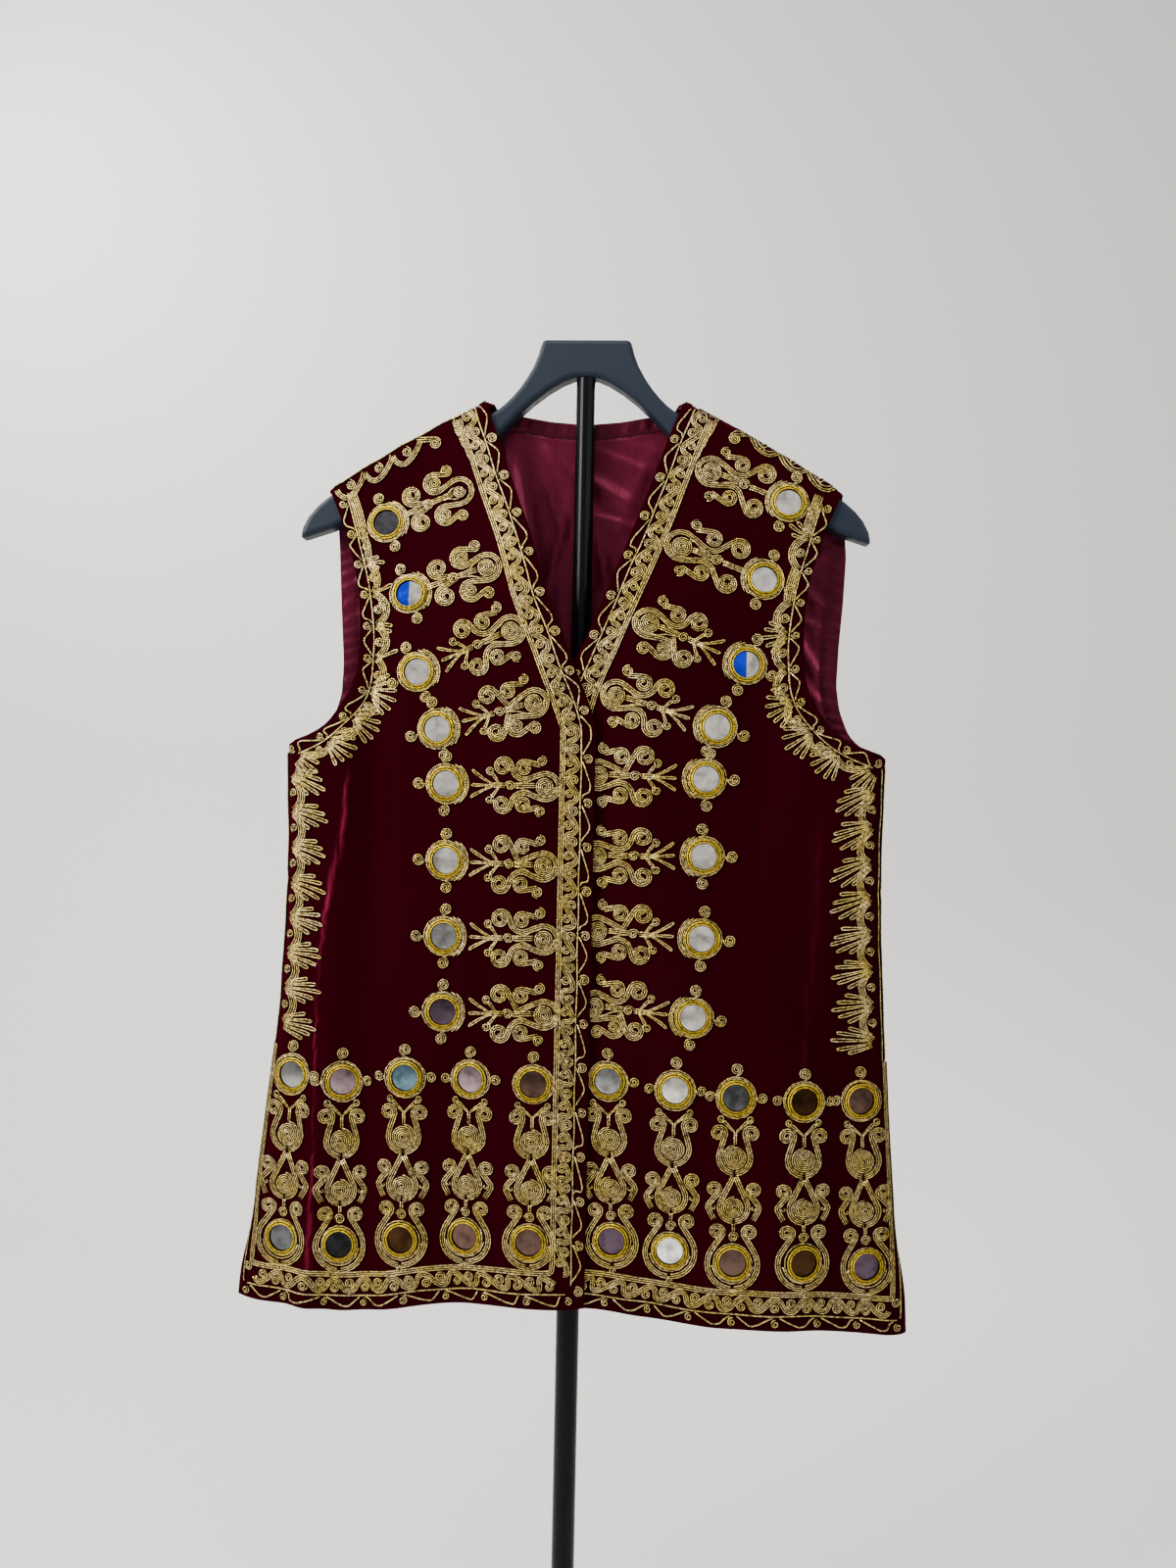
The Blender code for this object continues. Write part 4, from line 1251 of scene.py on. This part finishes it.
def front_band_edges(side, legs):
    """Both edges of the border: down the neck and the front, along the hem and up the slit."""
    edge = OVERLAP_PLACE[side] + (0 if side == "right" else 3)
    inner = edge + FRONT_BAND
    corner_z = float(looked_up(HEM_CURVES[side], edge))
    neck = np.array([(inner_edge(side, z), z) for z in np.arange(1240, 962, -4.0)] + [(edge, 960)])
    inner_neck = np.concatenate([beside(neck, FRONT_BAND)[:-2], [(inner, 967)]])
    slit_place = float(side_seam(side, 500)) - 1.5
    hem, inner_hem = (
        np.stack([places, looked_up(HEM_CURVES[side], places) + rise], axis=1)
        for places, rise in (
            (np.linspace(edge, slit_place, 60), 0),
            (np.linspace(inner, slit_place - SLIT_BAND, 60), HEM_BAND),
        )
    )
    slit = [hem[-1]] + side_line(side, np.linspace(510, BANDS_MEET, 14), 1.2)
    inner_slit = [inner_hem[-1]] + [
        (place + (z - 540) / 70, z)
        for place, z in side_line(side, np.linspace(545, BANDS_MEET, 12), SLIT_BAND)
    ]
    outside = (neck, [(edge, 960), (edge, corner_z)], hem, slit)
    inside = (inner_neck, [(inner, 967), (inner, corner_z + HEM_BAND)], inner_hem, inner_slit)
    return zip(outside, legs), zip(inside, legs)


def front_band(side):
    """The border round a front: a zigzag, a running scroll and a ribbon of three cords."""
    legs = (280, 450, 290, 200)
    outside, inside = front_band_edges(side, legs)
    band = Band(side, outside, inside, FRONT_BAND, 5)
    hem_start, hem_end = float(band.run[sum(legs[:2])]), float(band.run[sum(legs[:3])])
    zigzag(band, 6, hem_start - 8, 35, ZIGZAG_D, 3.4, 4.4)
    zigzag(band, hem_start + 6, hem_end - 4, 30, ZIGZAG_D, 3.6, 3.6)
    band.cords(np.arange(hem_end, band.length, 1.5), ZIGZAG_D, thick=THICK_R)
    running_scroll(band, 4, hem_start - 7, 4.5)
    running_scroll(band, hem_start + 5, hem_end - 6, 4.4)
    band.coil(hem_end + 4, 19.0, 4.2)
    band.cords(np.arange(2, band.length, 1.5), RIBBON_D, 3)
    # More cords beside the ribbon where it starts at the neck
    for out, end in ((2.9, 62), (4.3, 52), (5.7, 42)):
        s = np.arange(3, end, 1.5)
        band.cords(s, 25.8 + out * smooth((s - 3) / 16) * smooth((end + 6 - s) / 12))


# Bays of the armhole border: depth of the arc, radius of its coil, petals at its start and
# their length
ARM_BAYS = {
    "right": (
        (20.5, 0, 0, 0), (21, 3.3, 0, 0), (23.5, 4.2, 3, 14), (27.5, 4.4, 1, 17), (26.5, 4.3, 2, 19),
        (25.5, 4.2, 1, 19), (26, 4.4, 6, 23), (25, 4.2, 6, 23), (23.5, 3.8, 6, 22),
    ),
    "left": (
        (20.5, 0, 0, 0), (27, 4.4, 3, 18), (20.5, 0, 0, 0), (27, 4.4, 0, 0), (26, 4.3, 5, 20),
        (26, 4.3, 0, 0), (25.5, 4.2, 6, 22), (25, 4.2, 6, 23), (23.5, 3.8, 6, 22),
    ),
}
SIDE_BAYS = {  # depth of the feet, bays, petal length
    "right": (9.0, 8, 31.0),
    "left": (14.0, 8, 34.0),
}


def arm_band_edges(side, legs):
    """Both edges of the border: down the armhole and down the side seam."""
    hole = [(float(looked_up(FRONT_ARMHOLE_CURVE, z)), z) for z in np.arange(1152, 950, -2.0)]
    corner_x = float(side_seam(side, UNDERARM_Z)) - 4
    hole = np.array(hole + [(246, 947.5), (corner_x, 943.0)])
    inner_hole = beside(hole, -ARM_BAND)
    inner_hole = inner_hole[inner_hole[:, 0] < corner_x - ARM_BAND - 1]
    inner_corner = (corner_x - ARM_BAND, float(inner_hole[-1, 1]) - 1.0)
    seam = side_line(side, np.linspace(943, BANDS_MEET, 30), 4)
    inner_seam = side_line(side, np.linspace(inner_corner[1], BANDS_MEET, 30), 4 + ARM_BAND)
    inner_hole = np.concatenate([inner_hole, [inner_corner]])
    return zip((hole, seam), legs), zip((inner_hole, inner_seam), legs)


def arm_band(side):
    """The border round the armhole and down the side, with a row of palmettes."""
    legs = (300, 240)
    outside, inside = arm_band_edges(side, legs)
    band = Band(side, outside, inside, ARM_BAND, 8)
    turn = float(band.run[legs[0]])
    pitch = (turn - 14) / len(ARM_BAYS[side])
    zigzag(band, 8, turn - 6, pitch, ARM_ZIGZAG_D, 4.4, 3.8)
    for number, bay in enumerate(ARM_BAYS[side]):
        arm_bay(band, number, 8 + number * pitch, pitch, bay)
    palmette(band.place(turn - 2, 16.0), 100, 19, 5, 60, 0.5, 10.0)
    side_bays(band, turn)


def arm_bay(band, number, node, pitch, bay):
    """One bay of the armhole border: a bow over a coil, or a straight ribbon, and petals."""
    depth, coil_radius, petals, length = bay
    if coil_radius:
        band.bay(node, pitch, BOW_D, depth - 2.7 - BOW_D, 0.75, 4)
        band.coil(node + pitch * 0.5, 14.2 + coil_radius * 0.75, coil_radius)
    else:
        start = node if number else 0.0
        band.bay(start, node + pitch - start, 17.2, 0.8, 1, 5)
        band.coil(node + 3, 17.0, 3.4)
    lean = (14, -22)[number % 2] if petals < 4 else 6
    fan = petals - 1
    palmette(band.place(node, 17.0), 90 + lean, length - 1.5, petals, 17.0 * fan, 0.5, 2.4 * fan)


def side_bays(band, turn):
    """Bows, coils and palmettes down the side seam."""
    foot, count, length = SIDE_BAYS[band.side]
    pitch = (band.length - turn - 4) / count
    s = np.arange(turn, band.length, 1.5)
    band.cords(s, foot - 5.6 + 0.3 * np.sin(s / 7), thick=THICK_R)
    if band.side == "left":
        band.cords(s, foot - 9.4, thick=THICK_R)
    for number in range(count):
        node = turn + 14 + number * pitch
        if number < count - 1:
            band.bay(node, pitch, foot + 2.4, 7.2, 0.8, 4)
            band.coil(node + pitch / 2, foot + 2.6, 3.9, 180)
        lean = chance.uniform(-5, 5)
        palmette(band.place(node, foot + 4), 90 + lean, length - 2, 5, 40, 0.75, 9.5)


def shoulder_band(side):
    """Scrolls along the shoulder seam, with a coil in each bay."""
    deep = 1.0 if side == "right" else 0.55
    pitch, first = 23.0, 204.0

    def at(place, drop):
        return (place, float(shoulder_top(place)) - drop * deep)

    x = np.arange(92, 208, 2.0)
    line = np.stack([x, shoulder_top(x) - (9 * deep + 0.4 * np.sin(x / 5))], axis=1)
    lay_cords(side, line, thick=THICK_R)
    for number in range(3):
        start = first - number * pitch
        share = np.linspace(0, 1, 22)
        bow = 12 + 12.5 * np.sin(np.pi * share) ** 0.8
        lay_cords(side, np.array([at(start - pitch * u, drop) for u, drop in zip(share, bow)]), 3)
        Place(side, at(start - pitch / 2, 15)).coil((0, 0), 4.4 * (0.4 + 0.6 * deep), 90)
    end = Place(side, at(first - 3 * pitch, 12))
    strung(end, ((3, 0), (-12, -2, 3.4, 1)), 310)


SPRAYS, HEM_COLUMNS = 8, 5
LAST_COLUMN = SPRAYS + HEM_COLUMNS - 1
# Places of the sprays' heads and of the mirrors on the cloth, as measured in the photo
HEADS = {
    "right": (
        (101, 1156.5), (76, 1093), (55, 1042), (35, 984), (24.5, 917), (24.5, 853.5),
        (23, 795), (22, 735),
    ),
    "left": (
        (104, 1175.5), (80.5, 1112), (56, 1049.5), (31, 991.5), (17.5, 927.5), (18, 862.5),
        (19.5, 802.5), (18.5, 742),
    ),
}
MIRRORS = {
    "right": (
        (161, 1131), (139, 1071.5), (130.5, 1008), (113, 962), (105, 918), (104, 856),
        (104.5, 795), (104.5, 734), (228.5, 677), (186, 674), (133.5, 680), (80, 680.5),
        (29, 679.5), (234, 543.5), (185.5, 542), (134, 550), (82, 553.5), (30, 554),
    ),
    "left": (
        (167, 1151.5), (147.5, 1087), (134, 1018), (111.5, 967.5), (103.5, 926), (103, 864),
        (102.5, 798.5), (97, 735.5), (30.5, 682.5), (84, 677.5), (132.5, 673), (186, 671),
        (232.5, 670.5), (36, 556), (82.5, 550), (132, 543.5), (187, 544.5), (239.5, 538),
    ),
}
GLASS_COLOURS_AND_REFLECTIONS = {  # colours painted on the glass: silver is its own, blue fills half of some discs, and the others are painted reflections of what each mirror faces
    "silver": (0.86, 0.82, 0.74), "white": (0.98, 0.97, 0.90), "grey": (0.34, 0.34, 0.33),
    "slate": (0.095, 0.097, 0.105), "dark": (0.018, 0.018, 0.019), "mauve": (0.32, 0.23, 0.25),
    "violet": (0.090, 0.060, 0.085), "brown": (0.105, 0.062, 0.048), "umber": (0.045, 0.022, 0.009),
    "sky": (0.14, 0.24, 0.30), "blue": (0.01, 0.05, 0.95),
}
MIRROR_COLOURS_AND_REFLECTIONS = {  # the colour or painted reflection of each glass: the eight beside the front band, then the upper and the lower row
    "right": (
        "slate blue silver silver silver silver grey violet",
        "grey mauve sky mauve brown", "slate dark umber brown brown",
    ),
    "left": (
        "silver silver blue silver silver silver silver silver",
        "grey silver slate umber brown", "violet white brown umber violet",
    ),
}


def tube_mesh(name, cords):
    """Closed tubes along the cords; the UV counts the twist along and the way round."""
    points, faces, uvs = [], [], []
    base = 0
    corner = np.arange(CORD_SIDES)
    turn = corner * math.tau / CORD_SIDES + RING_START
    for line, normal, thick in cords:
        count = len(line)
        way = unit(np.gradient(line, axis=0))
        across = unit(np.cross(way, normal))
        up = np.cross(across, way)
        ring = (
            line[:, None, :]
            + across[:, None, :] * (np.cos(turn) * thick)[None, :, None]
            + up[:, None, :] * (np.sin(turn) * thick)[None, :, None]
        )
        points.append(ring.reshape(-1, 3))
        a = base + np.arange(count - 1)[:, None] * CORD_SIDES + corner
        b = base + np.arange(count - 1)[:, None] * CORD_SIDES + (corner + 1) % CORD_SIDES
        quads = np.stack([a, b, b + CORD_SIDES, a + CORD_SIDES], axis=-1).reshape(-1, 4)
        run = run_along(line) / TWIST_PITCH
        u0, u1, v0 = np.broadcast_arrays(run[:-1, None], run[1:, None], corner / CORD_SIDES)
        v1 = v0 + 1 / CORD_SIDES
        faces.extend(quads.tolist())
        uvs.append(np.stack([u0, v0, u0, v1, u1, v1, u1, v0], axis=-1).reshape(-1, 2))
        # Both ends are closed
        faces.append((base + corner[::-1]).tolist())
        faces.append((base + (count - 1) * CORD_SIDES + corner).tolist())
        uvs.append(np.zeros((2 * CORD_SIDES, 2)))
        base += count * CORD_SIDES
    return add_mesh(name, np.concatenate(points), faces, [CORD], np.concatenate(uvs), sharp=None)


MESH_LOAD = 180000  # most triangles in a mesh of cords


def make_cords(side):
    """Carries the flat cords onto the cloth, as a few joined meshes of bounded size."""
    batches, load = [[]], 0
    for points, lifts, thick in work[side]:
        points, lifts = thinned(points, lifts)
        seat = FRONT_WALL + thick * CORD_SEAT + lifts
        on, normal = layer(side, True, points[:, 0], points[:, 1], seat)
        triangles = len(on) * CORD_SIDES * 2
        load += triangles
        if load > MESH_LOAD:
            batches.append([])
            load = triangles
        batches[-1].append((on, normal, thick))
    return [tube_mesh(f"cord_work_{side}_{number}", batch) for number, batch in enumerate(batches, 1)]


GLASS_R, GLASS_FOOT = 10.5, 0.4
GLASS_RINGS = ((6.0, 1.65), (GLASS_R, 1.35), (GLASS_R, GLASS_FOOT))  # radius, height
GLASS_CROWN = 1.75
RIMS = ((11.3, 0.95, 2.1), (13.15, 1.05, 1.7))  # ring radius, thread radius, height
ROUND_STEPS, THREAD_SIDES = 32, 8


def glass_disc():
    """Points and faces of a low domed disc."""
    points = [(0, 0, GLASS_CROWN)]
    for radius, rise in GLASS_RINGS:
        for a in np.arange(ROUND_STEPS) * math.tau / ROUND_STEPS:
            points.append((radius * math.cos(a), radius * math.sin(a), rise))
    points.append((0, 0, GLASS_FOOT))
    faces = []
    for step in range(ROUND_STEPS):
        here, there = 1 + step, 1 + (step + 1) % ROUND_STEPS
        faces.append([0, here, there])
        for row in (0, ROUND_STEPS):
            faces.append([here + row, here + row + ROUND_STEPS, there + row + ROUND_STEPS, there + row])
        faces.append([there + 2 * ROUND_STEPS, here + 2 * ROUND_STEPS, len(points) - 1])
    return np.array(points), faces


def wound_rim(ring, thread, rise):
    """Points, faces and UV of a ring of thread."""
    points, faces, uv = [], [], []
    for step in range(ROUND_STEPS):
        a = step * math.tau / ROUND_STEPS
        for part in range(THREAD_SIDES):
            b = part * math.tau / THREAD_SIDES
            r = ring + thread * math.cos(b)
            points.append((r * math.cos(a), r * math.sin(a), rise + thread * math.sin(b)))
            corners = ((step, part), (step + 1, part), (step + 1, part + 1), (step, part + 1))
            faces.append([i % ROUND_STEPS * THREAD_SIDES + j % THREAD_SIDES for i, j in corners])
            uv += [(i * 2.0, j / THREAD_SIDES) for i, j in corners]
    return points, faces, uv


def disc_colours_and_reflections(name):
    """A colour or painted reflection for each face of a disc; the blue ones are half silver."""
    colours_and_reflections = []
    for step in range(ROUND_STEPS):
        is_silver = name == "blue" and math.cos((step + 0.5) * math.tau / ROUND_STEPS) > -0.05
        colours_and_reflections += [GLASS_COLOURS_AND_REFLECTIONS["silver" if is_silver else name]] * 4
    return colours_and_reflections


def mirror_seat(side, along, height):
    """Where a mirror lies on the cloth, and its axes as columns; each is tipped a little."""
    on, normal = layer(side, True, np.array([along]), np.array([height]), np.array([FRONT_WALL]))
    wobble = Vector((chance.uniform(-0.02, 0.02), 0, chance.uniform(-0.02, 0.02)))
    turn = (Vector(normal[0]) + wobble).normalized().to_track_quat("Z", "Y").to_matrix()
    return on[0], np.array(turn)


def make_mirrors(side):
    """Glass discs and the wound rims round them, each as one mesh per front."""
    glass_points, glass_faces, colours_and_reflections = [], [], []
    rim_points, rim_faces, rim_uv = [], [], []
    disc, disc_faces = glass_disc()
    for (along, height), name in zip(MIRRORS[side], " ".join(MIRROR_COLOURS_AND_REFLECTIONS[side]).split()):
        seat, axes = mirror_seat(side, along, height)
        glass_faces += [[len(glass_points) + corner for corner in face] for face in disc_faces]
        glass_points.extend((seat + disc @ axes.T).tolist())
        colours_and_reflections += disc_colours_and_reflections(name)
        for rim in RIMS:
            points, faces, uv = wound_rim(*rim)
            rim_faces += [[len(rim_points) + corner for corner in face] for face in faces]
            rim_points += [seat + axes @ point for point in points]
            rim_uv += uv
    glass = add_mesh(f"mirror_glass_{side}", glass_points, glass_faces, [GLASS])
    # Each face gets its glass colour or painted reflection
    layer_of_tint = glass.data.color_attributes.new("colour_and_reflection", "FLOAT_COLOR", "CORNER")
    values = [(*colour_and_reflection, 1.0) for colour_and_reflection, face in zip(colours_and_reflections, glass.data.polygons) for _ in face.vertices]
    layer_of_tint.data.foreach_set("color", np.array(values, np.float32).ravel())
    rims = add_mesh(f"mirror_rims_{side}", rim_points, rim_faces, [THREAD], rim_uv, sharp=None)
    nodes = [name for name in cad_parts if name.startswith(f"mirror_{side}_")]
    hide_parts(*nodes)
    return glass, rims


# ---------------------------------------------------------------- building

fronts, trims = {}, {}
for side in ("right", "left"):
    fronts[side] = make_front(side)
    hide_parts(f"front_{side}")
    front_band(side)
    arm_band(side)
    shoulder_band(side)
    for number in range(SPRAYS):
        spray(side, number)
    for number in range(SPRAYS, SPRAYS + HEM_COLUMNS):
        hem_column(side, number)
    trims[side] = [*make_mirrors(side), *make_cords(side)]

back = make_back()
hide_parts("back")
lining = make_lining()
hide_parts("back_lining")


for side in ("right", "left"):
    places = front_places(side)
for piece in (back, lining):
    places = back_places()

BOARD = lacquer_material("board_lacquer", (0.0062, 0.0103, 0.0182), 0.42, 0.16)
STEEL = lacquer_material("pole_coat", (0.0010, 0.0015, 0.0022), 0.22, 0.08)
for name in ("board", "upper_tube", "lower_tube", "foot"):
    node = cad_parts[f"stand_{name}"]
    node.data.materials.clear()
    node.data.materials.append(BOARD if name == "board" else STEEL)

# ---------------------------------------------------------------- stage, light, camera

FLOOR_GAP = 0.001  # the floor lies this far below the foot


def studio_sweep(half_width, front, back, height, radius):
    """A pale floor that curves up into a wall well behind the object, as one sheet."""
    turn = np.radians(np.linspace(0, 90, 25))
    profile = [(front, -FLOOR_GAP)]
    for a in turn:
        profile.append((back - radius + radius * math.sin(a), radius - radius * math.cos(a) - FLOOR_GAP))
    profile.append((back, height))
    points = [(x, y, z) for y, z in profile for x in (-half_width, half_width)]
    faces = [(2 * i, 2 * i + 1, 2 * i + 3, 2 * i + 2) for i in range(len(profile) - 1)]
    mesh = bpy.data.meshes.new("sweep")
    mesh.from_pydata(points, [], faces)
    mesh.shade_smooth()
    made, tree, shader = new_material("sweep")
    set_inputs(tree, shader, base_color=(0.60, 0.595, 0.575, 1), roughness=0.85, specular_ior_level=0.2)
    mesh.materials.append(made)
    sweep = bpy.data.objects.new("sweep", mesh)
    bpy.context.scene.collection.objects.link(sweep)


def room_light(strength):
    """Soft light from all round, darker from below."""
    world = bpy.data.worlds.new("room")
    bpy.context.scene.world = world
    world.use_nodes = True
    tree = world.node_tree
    coords = add_node(tree, "ShaderNodeTexCoord")
    parts = add_node(tree, "ShaderNodeSeparateXYZ")
    tree.links.new(coords.outputs["Generated"], parts.inputs["Vector"])
    floor, low, wall = (0.16, 0.13, 0.12), (0.46, 0.43, 0.42), (0.84, 0.83, 0.81)
    stops = [(0.12, floor), (0.34, low), (0.45, wall), (0.95, 0.95)]
    shade = colours(tree, scaled(tree, parts.outputs["Z"], 0.5, 0.5), stops)
    set_inputs(tree, tree.nodes["Background"], color=shade, strength=strength)


def area_light(name, place, target, size, power, colour):
    """A soft lamp at a place, aimed at its target; the camera doesn't see it."""
    data = bpy.data.lights.new(name, "AREA")
    data.shape = "RECTANGLE"
    data.size, data.size_y = size
    data.energy = power
    data.color = colour
    lamp = bpy.data.objects.new(name, data)
    lamp.location = place
    lamp.visible_camera = False
    lamp.rotation_euler = (Vector(target) - Vector(place)).to_track_quat("-Z", "Y").to_euler()
    bpy.context.scene.collection.objects.link(lamp)


studio_sweep(half_width=9.0, front=-9.0, back=2.2, height=6.0, radius=1.0)
room_light(0.92)
area_light("window", (-2.1, -1.5, 2.2), (0.1, 0.2, 0.9), (1.1, 1.4), 168, (1.0, 0.985, 0.96))
area_light("backdrop", (-1.9, 0.95, 2.8), (-0.3, 2.2, 1.5), (1.2, 0.6), 62, (1.0, 0.99, 0.975))
area_light("behind", (1.1, 2.15, 1.9), (1.1, 0, 1.9), (1.6, 1.2), 70, (1.0, 0.99, 0.975))
area_light("fill", (1.5, -1.0, 1.6), (0.1, 0, 0.95), (0.8, 0.8), 12, (0.97, 0.99, 1.0))
area_light("ceiling", (-0.5, -1.1, 2.9), (0, 0.3, 0.6), (2.2, 1.4), 54, (1.0, 0.99, 0.975))

# The picture was taken a little from the right, level, with a slight roll
HEADING, ROLL = math.radians(2.501), math.radians(1.15)
EYE, FOCAL_LENGTH, SENSOR = (0.0489, -0.9337, 0.920), 25.83, 36
ahead = Vector((-math.sin(HEADING), math.cos(HEADING), 0))
right_way = Vector((math.cos(HEADING), math.sin(HEADING), 0))
up_way = Vector((0, 0, 1))
rolled_right = right_way * math.cos(ROLL) + up_way * math.sin(ROLL)
rolled_up = up_way * math.cos(ROLL) - right_way * math.sin(ROLL)
lens = bpy.data.cameras.new("camera")
lens.lens = FOCAL_LENGTH
lens.sensor_width = SENSOR
camera = bpy.data.objects.new("camera", lens)
camera_axes = Matrix((rolled_right, rolled_up, -ahead)).transposed().to_4x4()
camera.matrix_world = Matrix.Translation(EYE) @ camera_axes
bpy.context.scene.collection.objects.link(camera)
bpy.context.scene.camera = camera
